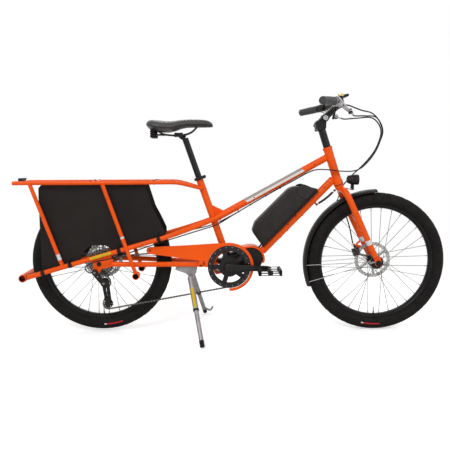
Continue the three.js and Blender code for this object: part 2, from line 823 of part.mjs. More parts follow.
// Front brake caliper with its cable arm, over the rotor's rear edge
function caliper(x, z, rotorY, towards, lean) {
  const thick = CALIPER_GRIP * 2;
  const body = block(at(x, rotorY + thick / 4, z), thick * 3, thick * 1.5, thick * 3, lean);
  const knob = rod(at(x, rotorY - thick, z), at(x, rotorY, z), thick);
  const slot = disc(
    towards.x,
    towards.z,
    ROTOR_RADIUS + RUNNING * 2,
    rotorY - ROTOR_THICK / 2 - RUNNING,
    rotorY + ROTOR_THICK / 2 + RUNNING,
    RING_STEPS,
  );
  return cut(join(body, knob), slot);
}
const frontCaliperSolid = cut(
  join(
    caliper(calX, calZ, FRONT_ROTOR_Y, axleFront, -Math.PI / 9),
    bar(
      at(calX, BLADE_HALF_LOW - BLADE_RADIUS / 2, calZ + CALIPER_GRIP * 2),
      at(calX - CALIPER_GRIP * 2, BLADE_HALF_LOW - BLADE_RADIUS / 2, calZ + CALIPER_GRIP * 5),
      CALIPER_GRIP,
      CALIPER_GRIP,
    ),
  ),
  join(fork(GAP), block(
    at(calX, BLADE_HALF_LOW + BLADE_RADIUS, calZ),
    BLADE_RADIUS * 8,
    (BLADE_RADIUS + BLADE_RADIUS / 4 + GAP) * 2,
    BLADE_RADIUS * 12,
  )),
);
add("front_caliper", frontCaliperSolid, DARK_METAL);

// Head tube with its cups
function headTube(grow = 0) {
  return join(
    rod(headTop, headBottom, HEAD_RADIUS + grow, FINE_SIDES),
    rod(headTop, onHead(HEAD_CUP_LENGTH), HEAD_CUP_RADIUS + grow, FINE_SIDES),
    rod(
      onHead(HEAD_LENGTH - HEAD_CUP_LENGTH * 2),
      headBottom,
      HEAD_CUP_RADIUS + grow,
      FINE_SIDES,
    ),
  );
}
const headBore = rod(
  onHead(-OVERRUN),
  onHead(HEAD_LENGTH + OVERRUN),
  boreOf(STEERER_RADIUS),
  FINE_SIDES,
);
add("head_tube", cut(headTube(), headBore), ORANGE);

// Riser around the steerer, and the adjustable stem on it
const riserTop = onHead(-RISER_LENGTH);
const stemPivot = riserTop
  .clone()
  .addScaledVector(headAhead, STEM_PIVOT_AHEAD)
  .addScaledVector(headDown, -STEM_PIVOT_ABOVE);
const barClamp = at(BAR_X, 0, BAR_Z);
const riserBore = rod(
  onHead(-RISER_LENGTH - OVERRUN),
  onHead(OVERRUN),
  STEERER_RADIUS + GAP,
  FINE_SIDES,
);
const riserHead = RISER_LENGTH * 0.7;
const riser = cut(
  rod(onHead(-riserHead - RUNNING), onHead(-GAP), RISER_RADIUS, FINE_SIDES),
  riserBore,
);
const stemOutline = [
  onHead(-riserHead - GAP).addScaledVector(headAhead, -RISER_RADIUS - SHELL_THICK),
  onHead(-riserHead - GAP).addScaledVector(headAhead, RISER_RADIUS),
  stemPivot.clone().addScaledVector(headDown, STEM_ARM_RADIUS),
  stemPivot.clone().addScaledVector(headAhead, STEM_ARM_RADIUS),
  stemPivot.clone().addScaledVector(headDown, -STEM_ARM_RADIUS),
  onHead(-RISER_LENGTH - SHELL_THICK).addScaledVector(headAhead, -RISER_RADIUS),
  onHead(-RISER_LENGTH).addScaledVector(headAhead, -RISER_RADIUS - SHELL_THICK),
].map((p) => [p.x, p.z]);
const stemBlock = cut(
  plate(stemOutline, -STEM_HALF, STEM_HALF),
  rod(
    onHead(-RISER_LENGTH - GAP),
    onHead(OVERRUN),
    STEERER_RADIUS + GAP,
    FINE_SIDES,
  ),
);
const stemArm = join(
  bar(stemPivot, barClamp, STEM_ARM_RADIUS * 1.6, STEM_ARM_HALF * 2),
  disc(stemPivot.x, stemPivot.z, STEM_ARM_RADIUS, -STEM_HALF, STEM_HALF),
  disc(BAR_X, BAR_Z, BAR_CLAMP_RADIUS, -STEM_HALF, STEM_HALF),
);
const stemCaps = join(
  disc(
    stemPivot.x,
    stemPivot.z,
    STEM_CAP_RADIUS,
    -STEM_HALF - STEM_CAP_THICK,
    STEM_HALF + STEM_CAP_THICK,
  ),
);
const barHole = disc(
  BAR_X,
  BAR_Z,
  BAR_RADIUS + GAP * 2,
  -STEM_HALF - OVERRUN,
  STEM_HALF + OVERRUN,
);
add("stem", cut(join(stemBlock, stemArm, stemCaps, riser), barHole), BLACK);

// Handlebar: one swept tube with the two grips fixed on its ends
const gripEnd = (side) => at(GRIP_END_X, side * GRIP_END_HALF, GRIP_END_Z);
const barPoints = (side) => {
  const bend = at(BAR_X - BAR_BEND_BACK, side * BAR_BEND_HALF, BAR_Z);
  return [at(BAR_X, side * BAR_STRAIGHT_HALF, BAR_Z), bend, along(bend, gripEnd(side), 1 / 3)];
};
const barWay = (side) => barPoints(side)[2].sub(gripEnd(side)).normalize();
const onGrip = (side, inwards) => gripEnd(side).addScaledVector(barWay(side), inwards);
const barLine = (side) => {
  const end = onGrip(side, SHELL_THICK);
  const straight = at(BAR_X, side * BAR_STRAIGHT_HALF * 0.7, BAR_Z);
  return [straight, ...barPoints(side), end];
};
const barTube = (grow) =>
  sweep([...barLine(-1).reverse(), ...barLine(1)], BAR_RADIUS + grow, BAR_STEPS, SIDES);
const grips = [-1, 1].flatMap((side) => [
  rod(onGrip(side, 0), onGrip(side, GRIP_LENGTH / 4), GRIP_RADIUS, SIDES, GRIP_RADIUS + RUNNING),
  rod(
    onGrip(side, GRIP_LENGTH / 4),
    onGrip(side, GRIP_LENGTH),
    GRIP_RADIUS + RUNNING,
    SIDES,
    GRIP_RADIUS - RUNNING,
  ),
]);
add("handlebar", join(barTube(0), ...grips), BLACK);
const barSpace = barTube(GAP);

// Controls: a clamp on the bar, an arm ahead of it and the ears of the brake lever
const podStart = (side) => onGrip(side, GRIP_LENGTH + GAP);
const podEnd = (side) => onGrip(side, GRIP_LENGTH + GAP + POD_LENGTH);
const podMiddle = (side) => along(podStart(side), podEnd(side), 1 / 2);
const leverPivot = (side) => podEnd(side).add(at(LEVER_REACH, 0, -LEVER_DROP));
const leverTip = (side) => gripEnd(side).add(at(LEVER_TIP_AHEAD, 0, LEVER_TIP_ABOVE));
const leverWay = (side) => leverTip(side).sub(leverPivot(side)).normalize();
function leverAxis(side) {
  const toGrip = gripEnd(side).sub(leverPivot(side)).normalize();
  return new THREE.Vector3().crossVectors(leverWay(side), toGrip).normalize();
}
function leverPin(side, radius, half) {
  const pivot = leverPivot(side);
  const axis = leverAxis(side);
  return rod(
    pivot.clone().addScaledVector(axis, -half),
    pivot.clone().addScaledVector(axis, half),
    radius,
    radius > LEVER_PIVOT_RADIUS ? SIDES : FEW_SIDES,
  );
}
const onBarrel = (side, length) => leverPivot(side).addScaledVector(leverWay(side), -length);
const cableStart = (side) => onBarrel(side, BARREL_LENGTH);
function control(side) {
  const reach = EAR_THICK + LEVER_THICK / 2 + GAP;
  const shoulder = onBarrel(side, LEVER_WIDTH * 1.4);
  return cut(
    join(
      rod(podStart(side), podEnd(side), POD_RADIUS),
      rod(podMiddle(side), shoulder, LEVER_WIDTH * 0.8, FEW_SIDES),
      leverPin(side, LEVER_PIVOT_RADIUS * 2, reach),
      rod(leverPivot(side), cableStart(side), LEVER_PIVOT_RADIUS, FEW_SIDES),
    ),
    cut(
      leverPin(side, LEVER_PIVOT_RADIUS * 2.4, LEVER_THICK / 2 + GAP),
      leverPin(side, LEVER_PIVOT_RADIUS / 2, LEVER_THICK),
    ),
    barSpace,
  );
}
function brakeLever(side) {
  const bend = along(leverPivot(side), leverTip(side), 1 / 4);
  return cut(
    join(
      leverPin(side, LEVER_PIVOT_RADIUS * 2, LEVER_THICK / 2),
      rod(leverPivot(side), bend, LEVER_THICK / 2, FEW_SIDES),
      rod(bend, leverTip(side), LEVER_THICK / 2, FEW_SIDES, LEVER_THICK * 0.6),
    ),
    leverPin(side, boreOf(LEVER_PIVOT_RADIUS / 2, FEW_SIDES), LEVER_THICK),
  );
}
const shiftPod = block(
  podMiddle(-1).add(at(POD_RADIUS / 2, 0, -POD_RADIUS)),
  POD_RADIUS * 2,
  POD_LENGTH * 0.8,
  POD_RADIUS,
);
const shiftStart = podMiddle(-1).add(at(POD_RADIUS * 1.5, 0, -POD_RADIUS));
const shiftBarrel = rod(
  shiftStart.clone().add(at(-POD_RADIUS, 0, 0)),
  shiftStart.clone().add(at(POD_RADIUS / 2, 0, 0)),
  LEVER_PIVOT_RADIUS,
  FEW_SIDES,
);
add("control_right", join(control(-1), cut(join(shiftPod, shiftBarrel), barSpace)), CAST);
add("control_left", control(1), BLACK);
add("brake_lever_right", brakeLever(-1), STEEL);
add("brake_lever_left", brakeLever(1), STEEL);

// Thumb lever of the shifter, turning under its pod
const thumbTop = podMiddle(-1).add(at(0, 0, -POD_RADIUS * 1.5 - GAP));
const thumbHub = thumbTop.clone().add(at(0, 0, -LEVER_THICK));
const thumbTip = thumbTop.clone().add(at(-LEVER_WIDTH, 0, -THUMB_LENGTH));
add(
  "shift_lever",
  join(
    rod(thumbTop, thumbHub, LEVER_WIDTH),
    rod(along(thumbTop, thumbHub, 1 / 2), thumbTip, LEVER_THICK / 2, FEW_SIDES, LEVER_THICK * 0.8),
  ),
  BLACK,
);

// Display over the bar clamp, on two legs that hold the bar beside the stem
const displayZ = BAR_Z + BAR_CLAMP_RADIUS + DISPLAY_ABOVE + DISPLAY_THICK / 2;
const displayMiddle = at(BAR_X + BAR_CLAMP_RADIUS / 2, 0, displayZ);
const displayLegs = [-1, 1].map((side) => {
  const near = STEM_HALF + RUNNING;
  const [from, to] = side < 0 ? [-near - SHELL_THICK, -near] : [near, near + SHELL_THICK];
  return plate(
    capsule([BAR_X, BAR_Z], BAR_RADIUS + SHELL_THICK / 2, [BAR_X, displayZ], BAR_RADIUS, SIDES),
    from,
    to,
  );
});
add(
  "display",
  cut(
    join(
      block(displayMiddle, DISPLAY_LENGTH, DISPLAY_WIDTH, DISPLAY_THICK, DISPLAY_TURN),
      ...displayLegs,
    ),
    barSpace,
  ),
  BLACK,
);

// Bell on the near side of the bar, with its thumb striker
const bellSeat = along(barPoints(-1)[0], barPoints(-1)[1], (BELL_HALF - BAR_STRAIGHT_HALF)
  / (BAR_BEND_HALF - BAR_STRAIGHT_HALF));
const bellBase = bellSeat.clone().add(at(0, 0, BELL_STALK));
const aboveBell = (height) => bellBase.clone().add(at(0, 0, height));
const bellCollarHalf = barPoints(-1)[1].sub(barPoints(-1)[0]).setLength(SHELL_THICK);
const bellDome = join(
  rod(
    aboveBell(STRIKER_THICK + GAP * 2),
    aboveBell(STRIKER_THICK + BELL_HEIGHT / 2),
    BELL_RADIUS,
    EDGE_SIDES,
  ),
  rod(
    aboveBell(STRIKER_THICK + BELL_HEIGHT / 2),
    aboveBell(STRIKER_THICK + BELL_HEIGHT),
    BELL_RADIUS,
    EDGE_SIDES,
    BELL_RADIUS / 2,
  ),
);
add(
  "bell",
  cut(
    join(
      rod(
        bellSeat.clone().sub(bellCollarHalf),
        bellSeat.clone().add(bellCollarHalf),
        BAR_RADIUS + LEVER_THICK / 2,
      ),
      rod(bellSeat, bellBase, LEVER_PIVOT_RADIUS * 1.6),
      rod(bellSeat, aboveBell(STRIKER_THICK + BELL_HEIGHT / 2), BELL_STEM, SIDES),
      bellDome,
    ),
    barSpace,
  ),
  STEEL,
);
add(
  "bell_striker",
  cut(
    join(
      rod(aboveBell(GAP), aboveBell(STRIKER_THICK), LEVER_PIVOT_RADIUS * 1.4),
      bar(
        aboveBell((GAP + STRIKER_THICK) / 2),
        aboveBell((GAP + STRIKER_THICK) / 2).add(at(-STRIKER_LENGTH, 0, 0)),
        STRIKER_THICK - GAP,
        LEVER_THICK,
      ),
    ),
    rod(bellBase, aboveBell(STRIKER_THICK + RUNNING), boreOf(BELL_STEM, SIDES), SIDES),
  ),
  BLACK,
);

// Headlight between the prongs, tilting on a cross pin
const lampMiddle = LIGHT_X + LIGHT_LENGTH / 2;
const lampBack = at(LIGHT_X - LIGHT_LENGTH / 2, 0, LIGHT_Z);
const lampFront = at(lampMiddle, 0, LIGHT_Z);
const lampShoulder = along(lampBack, lampFront, 2 / 5);
add(
  "headlight",
  join(
    rod(lampBack, lampShoulder, LIGHT_RADIUS * 0.6, ROUND_SIDES, LIGHT_RADIUS),
    rod(lampShoulder, lampFront, LIGHT_RADIUS, ROUND_SIDES),
    disc(LIGHT_X, LIGHT_PIVOT_Z, PRONG_WIDTH / 2, -LUG_HALF, LUG_HALF),
    block(
      at(LIGHT_X, 0, (LIGHT_PIVOT_Z + LIGHT_Z) / 2),
      PRONG_WIDTH,
      LUG_HALF * 2,
      LIGHT_Z - LIGHT_PIVOT_Z,
    ),
  ),
  BLACK,
);

// Front mudguard: a shell over the rear of the tyre, with a crown tab and two pairs of stays
const guardInner = GUARD_RADIUS - TYRE_HALF / 2;
const guardOuter = GUARD_RADIUS + GUARD_THICK;
const guardEdge = GUARD_HALF - GUARD_THICK;
const guardRing = turned([
  [guardInner, -guardEdge],
  [GUARD_RADIUS, -guardEdge * 0.7],
  [GUARD_RADIUS, guardEdge * 0.7],
  [guardInner, guardEdge],
  [guardInner, GUARD_HALF],
  [guardOuter, guardEdge * 0.8],
  [guardOuter, -guardEdge * 0.8],
  [guardInner, -GUARD_HALF],
]).translate([FRONT_X, 0, FRONT_Z]);
const onGuard = (t, radius) => [
  FRONT_X + radius * Math.cos(t),
  FRONT_Z + radius * Math.sin(t),
];
const guardFan = [[FRONT_X, FRONT_Z]];
for (let i = 0; i <= GUARD_STEPS; i++)
  guardFan.push(
    onGuard(GUARD_FROM + ((GUARD_TO - GUARD_FROM) * i) / GUARD_STEPS, GUARD_RADIUS * 1.2),
  );
const dropoutMiddle = (FRONT_HUB_HALF + BLADE_HALF_LOW) / 2;
const guardStays = GUARD_STAYS.flatMap((t) =>
  [-1, 1].map((side) => {
    const [x, z] = onGuard(t, guardInner + GUARD_THICK);
    return rod(
      at(x, side * (GUARD_HALF - GUARD_THICK / 2), z),
      at(FRONT_X - BLADE_RADIUS / 2, side * dropoutMiddle, FRONT_Z + BLADE_RADIUS / 2),
      STAY_WIRE,
      FEW_SIDES,
    );
  }),
);
const [tabX, tabZ] = onGuard(GUARD_TAB, guardOuter - GUARD_THICK / 2);
const crownUnder = crownArch.clone().addScaledVector(headDown, BLADE_RADIUS * 0.8);
const crownTab = bar(at(tabX, 0, tabZ), crownUnder, GUARD_THICK, PRONG_WIDTH);
const forkSpace = join(fork(GAP), bar(
  bracketRoot,
  at(LIGHT_X + PRONG_WIDTH / 2, 0, LIGHT_PIVOT_Z - PRONG_WIDTH),
  PRONG_THICK + GAP * 2,
  2 * (LUG_HALF + PRONG_THICK + GAP * 2),
));
const guardShell = guardRing.intersect(plate(guardFan, -GUARD_HALF * 2, GUARD_HALF * 2));
add("front_mudguard", cut(join(guardShell, ...guardStays, crownTab), forkSpace), PLASTIC);

// Drive unit and the painted shell round its top and front
const noseX = BB_X + DRIVE_NOSE_AHEAD;
const noseZ = BB_Z + DRIVE_NOSE_ABOVE;
function driveShape(grow, from, to) {
  const outline = capsule(
    [BB_X, BB_Z],
    DRIVE_RADIUS + grow,
    [noseX, noseZ],
    DRIVE_NOSE_RADIUS + grow,
  );
  return plate(outline, from, to);
}
const driveSpace = driveShape(GAP * 2 + SHELL_THICK, -DRIVE_FAR - GAP, DRIVE_FAR + GAP);
add(
  "drive_unit",
  cut(
    driveShape(0, -DRIVE_NEAR, DRIVE_FAR),
    disc(BB_X, BB_Z, boreOf(SPINDLE_RADIUS), -DRIVE_FAR * 2, DRIVE_FAR * 2),
  ),
  BLACK,
);
const shellBand = cut(
  driveShape(GAP + SHELL_THICK, -SHELL_HALF, SHELL_HALF),
  driveShape(GAP, -SHELL_HALF - OVERRUN, SHELL_HALF + OVERRUN),
);
const shellReach = [
  [BB_X - DRIVE_RADIUS * 2, BB_Z],
  [noseX, noseZ - DRIVE_NOSE_RADIUS / 4],
  [noseX + DRIVE_RADIUS * 2, noseZ - DRIVE_NOSE_RADIUS / 4],
  [noseX + DRIVE_RADIUS * 2, noseZ + DRIVE_RADIUS * 2],
  [BB_X - DRIVE_RADIUS * 2, BB_Z + DRIVE_RADIUS * 2],
];
add(
  "motor_shell",
  shellBand.intersect(plate(shellReach, -SHELL_HALF - OVERRUN, SHELL_HALF + OVERRUN)),
  ORANGE,
);

// Main tubes
const topFront = onHead(TOP_TUBE_DROP);
const topEnd = onSeat(TOP_TUBE_SEAT_DROP);
const downFront = onHead(DOWN_TUBE_DROP);
const downEnd = at(DOWN_TUBE_END_X, 0, DOWN_TUBE_END_Z);
const downWay = downEnd.clone().sub(downFront).normalize();
const downUp = at(downWay.z, 0, -downWay.x);
const onDown = (length, height) =>
  downFront.clone().addScaledVector(downWay, length).addScaledVector(downUp, height);
const topFoot = along(topEnd, topFront, SEAT_TUBE_RADIUS / 2 / topEnd.distanceTo(topFront));
const topTube = (grow) => rod(topFront, topFoot, TOP_TUBE_RADIUS + grow, FINE_SIDES);
const seatTube = (grow) =>
  rod(seatTop, onSeat(SEAT_TUBE_LENGTH), SEAT_TUBE_RADIUS + grow, FINE_SIDES);
const headSpace = headTube(GAP);
add("top_tube", cut(topTube(0), headSpace, seatTube(GAP)), ORANGE);
const batteryRail = (grow) =>
  bar(
    onDown(
      BATTERY_START + BATTERY_RAIL_INSET - grow,
      (BATTERY_RAIL_TOP + DOWN_TUBE_RADIUS / 2) / 2,
    ),
    onDown(
      BATTERY_START + BATTERY_LENGTH - BATTERY_RAIL_INSET + grow,
      (BATTERY_RAIL_TOP + DOWN_TUBE_RADIUS / 2) / 2,
    ),
    BATTERY_RAIL_TOP - DOWN_TUBE_RADIUS / 2 + grow * 2,
    (BATTERY_RAIL_HALF + grow) * 2,
  );
const damperSeat = onDown(DAMPER_SEAT, -DOWN_TUBE_RADIUS);
const damperLug = rod(
  onDown(DAMPER_SEAT, 0),
  onDown(DAMPER_SEAT, -DOWN_TUBE_RADIUS - DAMPER_RADIUS),
  DAMPER_RADIUS,
);
add(
  "down_tube",
  cut(
    join(
      rod(downFront, onDown(downEnd.distanceTo(downFront) + OVERRUN, 0), DOWN_TUBE_RADIUS, FINE_SIDES),
      batteryRail(0),
      damperLug,
    ),
    headSpace,
    topTube(GAP),
    driveSpace,
  ),
  ORANGE,
);

// Long side rails, from the top tube's sides back to the rear cross tube
const railStart = along(topFront, topEnd, RAIL_START_SHARE);
const railKnee = at(RAIL_KNEE_X, 0, RAIL_KNEE_Z);
const railRear = at(RAIL_REAR_X, 0, RAIL_REAR_Z);
function railPoints(side) {
  const bends = RAIL_BEND_SHARES.map(([back, fall, spread]) =>
    at(
      railStart.x + (railKnee.x - railStart.x) * back,
      side * (RAIL_START_HALF + (RAIL_HALF - RAIL_START_HALF) * spread),
      railStart.z + (railKnee.z - railStart.z) * fall,
    ),
  );
  return [
    at(railStart.x, side * RAIL_START_HALF, railStart.z),
    ...bends,
    at(railKnee.x, side * RAIL_HALF, railKnee.z),
    at(
      railKnee.x + (railRear.x - railKnee.x) / 8,
      side * RAIL_HALF,
      railKnee.z + (railRear.z - railKnee.z) / 8,
    ),
  ];
}
const onRail = (x, side = 1, drop = 0) => {
  const share = (x - railKnee.x) / (railRear.x - railKnee.x);
  return at(x, side * RAIL_HALF, railKnee.z + (railRear.z - railKnee.z) * share - drop);
};
function sideRail(side, grow) {
  const points = railPoints(side);
  const last = points[points.length - 1];
  return join(
    sweep(points, RAIL_RADIUS + grow, BEND_STEPS, SIDES),
    rod(last.clone().add(at(RUNNING, 0, 0)), onRail(RAIL_REAR_X, side), RAIL_RADIUS + grow),
  );
}
const crossTube = (grow) =>
  disc(
    RAIL_REAR_X - REAR_SOCKET_RADIUS / 2,
    RAIL_REAR_Z,
    REAR_SOCKET_RADIUS + grow,
    -CROSS_TUBE_HALF - grow,
    CROSS_TUBE_HALF + grow,
  );
add(
  "rear_cross_tube",
  cut(
    crossTube(0),
    disc(
      RAIL_REAR_X - REAR_SOCKET_RADIUS / 2,
      RAIL_REAR_Z,
      REAR_SOCKET_BORE,
      -CROSS_TUBE_HALF - OVERRUN,
      CROSS_TUBE_HALF + OVERRUN,
    ),
  ),
  ORANGE,
);
[-1, 1].forEach((side) => {
  const made = cut(sideRail(side, 0), topTube(GAP), seatTube(GAP), crossTube(GAP));
  add(side < 0 ? "side_rail_right" : "side_rail_left", made, ORANGE);
});
const railSpace = join(sideRail(-1, GAP), sideRail(1, GAP));

// Seat tube with its collar, clamp ears and gusset plate
const clampFront = SEAT_TUBE_RADIUS + SHELL_THICK;
const earAt = (ahead, down) => {
  const p = onSeat(down);
  return at(p.x + Math.cos(SEAT_TILT) * ahead, p.y, p.z + Math.sin(SEAT_TILT) * ahead);
};
const clampEars = rod(
  earAt(clampFront, CLAMP_HEIGHT / 2).add(at(0, -CLAMP_EAR_HALF, 0)),
  earAt(clampFront, CLAMP_HEIGHT / 2).add(at(0, CLAMP_EAR_HALF, 0)),
  CLAMP_HEIGHT / 2,
);
const gussetTop = onSeat(TOP_TUBE_SEAT_DROP - GUSSET_ABOVE);
const gussetFoot = along(topEnd, topFront, GUSSET_LENGTH / topEnd.distanceTo(topFront));
const gusset = plate(
  [gussetTop, gussetFoot, topEnd].map((p) => [p.x, p.z]),
  -GUSSET_THICK / 2,
  GUSSET_THICK / 2,
);
add(
  "seat_tube",
  cut(
    join(
      seatTube(0),
      rod(seatTop, onSeat(CLAMP_HEIGHT), CLAMP_RADIUS, FINE_SIDES),
      clampEars,
      gusset,
    ),
    topTube(GAP).subtract(seatTube(0)),
    rod(onSeat(-OVERRUN), onSeat(POST_BORE_DEPTH), POST_RADIUS + GAP, FINE_SIDES),
    driveSpace,
  ),
  ORANGE,
);
const leverHinge = earAt(clampFront, CLAMP_HEIGHT / 2).add(
  at(0, -CLAMP_EAR_HALF - GAP - LEVER_PIVOT_RADIUS, 0),
);
const hingeEnd = (down) => leverHinge.clone().addScaledVector(seatDown, down);
add(
  "seat_clamp_lever",
  join(
    rod(hingeEnd(-CLAMP_HEIGHT / 2), hingeEnd(CLAMP_HEIGHT / 2), LEVER_PIVOT_RADIUS),
    bar(
      hingeEnd(0).add(at(0, -LEVER_PIVOT_RADIUS * 0.8, 0)),
      earAt(clampFront - CLAMP_LEVER_LENGTH, CLAMP_HEIGHT / 2).setY(
        leverHinge.y - LEVER_PIVOT_RADIUS * 0.8,
      ),
      CLAMP_HEIGHT * 0.7,
      LEVER_PIVOT_RADIUS,
    ),
  ),
  STEEL,
);

// Chainstays with the dropouts, and the rear axle held in the near one
const stayFront = at(BB_X + STAY_FRONT_AHEAD, 0, BB_Z + STAY_FRONT_ABOVE);
const stayRear = at(REAR_X + STAY_AHEAD, 0, REAR_Z);
function chainstay(side, grow) {
  const points = STAY_SPREAD_SHARES.map(([back, spread]) => {
    const p = along(stayFront, stayRear, back);
    p.y = side * (STAY_FRONT_HALF + (STAY_HALF - STAY_FRONT_HALF) * spread);
    return p;
  });
  return sweep(points, STAY_RADIUS + grow, BEND_STEPS, SIDES);
}
const dropInner = REAR_HUB_HALF + GAP;
const dropOuter = dropInner + DROPOUT_THICK;
const dropoutOutline = [
  [stayRear.x + STAY_RADIUS, REAR_Z + STAY_RADIUS],
  [stayRear.x + STAY_RADIUS, REAR_Z - STAY_RADIUS],
  [REAR_X + STAY_RADIUS, REAR_Z - STAY_RADIUS * 2],
  [HANGER_X + KNUCKLE_RADIUS, HANGER_Z - KNUCKLE_RADIUS],
  [HANGER_X - KNUCKLE_RADIUS / 2, HANGER_Z - KNUCKLE_RADIUS],
  [HANGER_X - KNUCKLE_RADIUS, HANGER_Z],
  [REAR_X - STAY_AHEAD / 2, REAR_Z],
  [REAR_X - STAY_AHEAD, REAR_Z + RAIL_AXLE_RISE],
  [stayRear.x, REAR_Z + RAIL_AXLE_RISE * 1.2],
];
const staySpace = join(chainstay(-1, GAP), chainstay(1, GAP));
[-1, 1].forEach((side) => {
  const [from, to] = side < 0 ? [-dropOuter, -dropInner] : [dropInner, dropOuter];
  const dropout = cut(plate(dropoutOutline, from, to), railSpace);
  const pin = join(
    disc(REAR_X, REAR_Z, AXLE_RADIUS, -dropOuter, dropOuter, SIDES),
    disc(REAR_X, REAR_Z, AXLE_RADIUS * 2, -dropOuter - AXLE_RADIUS, -dropOuter, SIDES),
  );
  const hole = disc(REAR_X, REAR_Z, AXLE_RADIUS + GAP, dropInner - RUNNING, dropOuter + RUNNING, SIDES);
  const tube = cut(chainstay(side, 0), driveSpace);
  add(
    side < 0 ? "chainstay_right" : "chainstay_left",
    side < 0 ? join(tube, dropout, pin) : cut(join(tube, dropout), hole),
    ORANGE,
  );
});

// Rack: two bent rails, three cross bars, four struts with their sockets
const rackSeat = onSeat(RACK_SEAT_DROP);
function rackRail(side, grow) {
  const bendStart = at(RACK_FRONT_X, side * RACK_HALF, RACK_Z);
  const points = [
    at(RACK_FRONT_X - RACK_RADIUS * 2, side * RACK_HALF, RACK_Z),
    bendStart,
    at(RACK_BEND_X, side * RACK_BEND_HALF, RACK_Z - RACK_BEND_DROP),
    at(rackSeat.x, side * RACK_SEAT_HALF, rackSeat.z),
  ];
  return join(
    rod(at(RACK_REAR_X, side * RACK_HALF, RACK_Z), points[0].clone().add(at(RUNNING, 0, 0)),
      RACK_RADIUS + grow),
    sweep(points, RACK_RADIUS + grow, BEND_STEPS, SIDES),
  );
}
[-1, 1].forEach((side) =>
  add(
    side < 0 ? "rack_rail_right" : "rack_rail_left",
    cut(rackRail(side, 0), seatTube(GAP)),
    ORANGE,
  ),
);
const rackSpace = join(rackRail(-1, GAP), rackRail(1, GAP));
const rackBar = (x) => rod(at(x, -RACK_HALF, RACK_Z), at(x, RACK_HALF, RACK_Z), CROSS_RADIUS);
const rackBolt = (x) =>
  rod(at(x, 0, RACK_Z), at(x, 0, RACK_Z + CROSS_RADIUS + STRAP_THICK * 2), STRAP_THICK * 2, SIDES);
const [rearBarX, middleBarX, frontBarX] = RACK_CROSS_X;
const reflector = plate(
  [
    [rearBarX - REFLECTOR_THICK, RACK_Z],
    [rearBarX, RACK_Z],
    [rearBarX + REFLECTOR_THICK, RACK_Z + REFLECTOR_HEIGHT],
    [rearBarX - REFLECTOR_THICK, RACK_Z + REFLECTOR_HEIGHT],
  ],
  -REFLECTOR_WIDTH / 2,
  REFLECTOR_WIDTH / 2,
);
add("rack_cross_rear", cut(join(rackBar(rearBarX), reflector), rackSpace), ORANGE);
add("rack_cross_middle", cut(join(rackBar(middleBarX), rackBolt(middleBarX)), rackSpace), ORANGE);
add("rack_cross_front", cut(join(rackBar(frontBarX), rackBolt(frontBarX)), rackSpace), ORANGE);

[-1, 1].forEach((side) => {
  const word = side < 0 ? "right" : "left";
  const rearTop = at(REAR_STRUT_TOP_X, side * RACK_HALF, RACK_Z - RACK_RADIUS / 2);
  add(
    "strut_rear_" + word,
    cut(rod(rearTop, onRail(REAR_STRUT_FOOT_X, side), STRUT_RADIUS), rackSpace, railSpace),
    ORANGE,
  );
  const midTop = at(MID_STRUT_TOP_X, side * STRUT_HALF, RACK_Z);
  const midFoot = at(MID_SOCKET_X, side * STRUT_HALF, MID_SOCKET_Z);
  const [inner, outer] = [side * MID_SOCKET_IN, side * MID_SOCKET_OUT];
  const [from, to] = side < 0 ? [outer, inner] : [inner, outer];
  const socket = cut(
    join(
      disc(MID_SOCKET_X, MID_SOCKET_Z, MID_SOCKET_RADIUS, from, to),
      rod(midTop, midFoot, STRUT_RADIUS),
    ),
    disc(MID_SOCKET_X, MID_SOCKET_Z, MID_SOCKET_BORE, from - OVERRUN, to + OVERRUN),
  );
  add("strut_middle_" + word, cut(socket, rackSpace, railSpace, staySpace), ORANGE);
});

// Side skirts, strapped round the side rails
const skirtEdge = SKIRT_EDGE_SHARES.map(([back, up]) => {
  const low = onRail(SKIRT_FRONT_X).z;
  return [
    SKIRT_FRONT_X + (SKIRT_REAR_X - SKIRT_FRONT_X) * back,
    low + (SKIRT_TOP_Z - low) * up,
  ];
});
const skirtOutline = [
  [SKIRT_REAR_X, onRail(SKIRT_REAR_X).z],
  [SKIRT_REAR_X, SKIRT_TOP_Z - SKIRT_CORNER],
  [SKIRT_REAR_X + SKIRT_CORNER, SKIRT_TOP_Z],
  ...skirtEdge,
  [SKIRT_FRONT_X, onRail(SKIRT_FRONT_X).z],
];
[-1, 1].forEach((side) => {
  const inner = SKIRT_OUT - SKIRT_THICK;
  const [from, to] = side < 0 ? [-SKIRT_OUT, -inner] : [inner, SKIRT_OUT];
  const panel = cut(
    plate(skirtOutline, from, to),
    disc(REAR_X, REAR_Z, SKIRT_ARCH_RADIUS, from - OVERRUN, to + OVERRUN),
  );
  const strap = (x) => {
    const [a, b] = [onRail(x - STRAP_WIDTH / 2, side), onRail(x + STRAP_WIDTH / 2, side)];
    return rod(a, b, RAIL_RADIUS + GAP + STRAP_THICK);
  };
  add(
    side < 0 ? "skirt_right" : "skirt_left",
    cut(join(panel, ...STRAP_PLACES.map(strap)), railSpace),
    PANEL,
  );
});

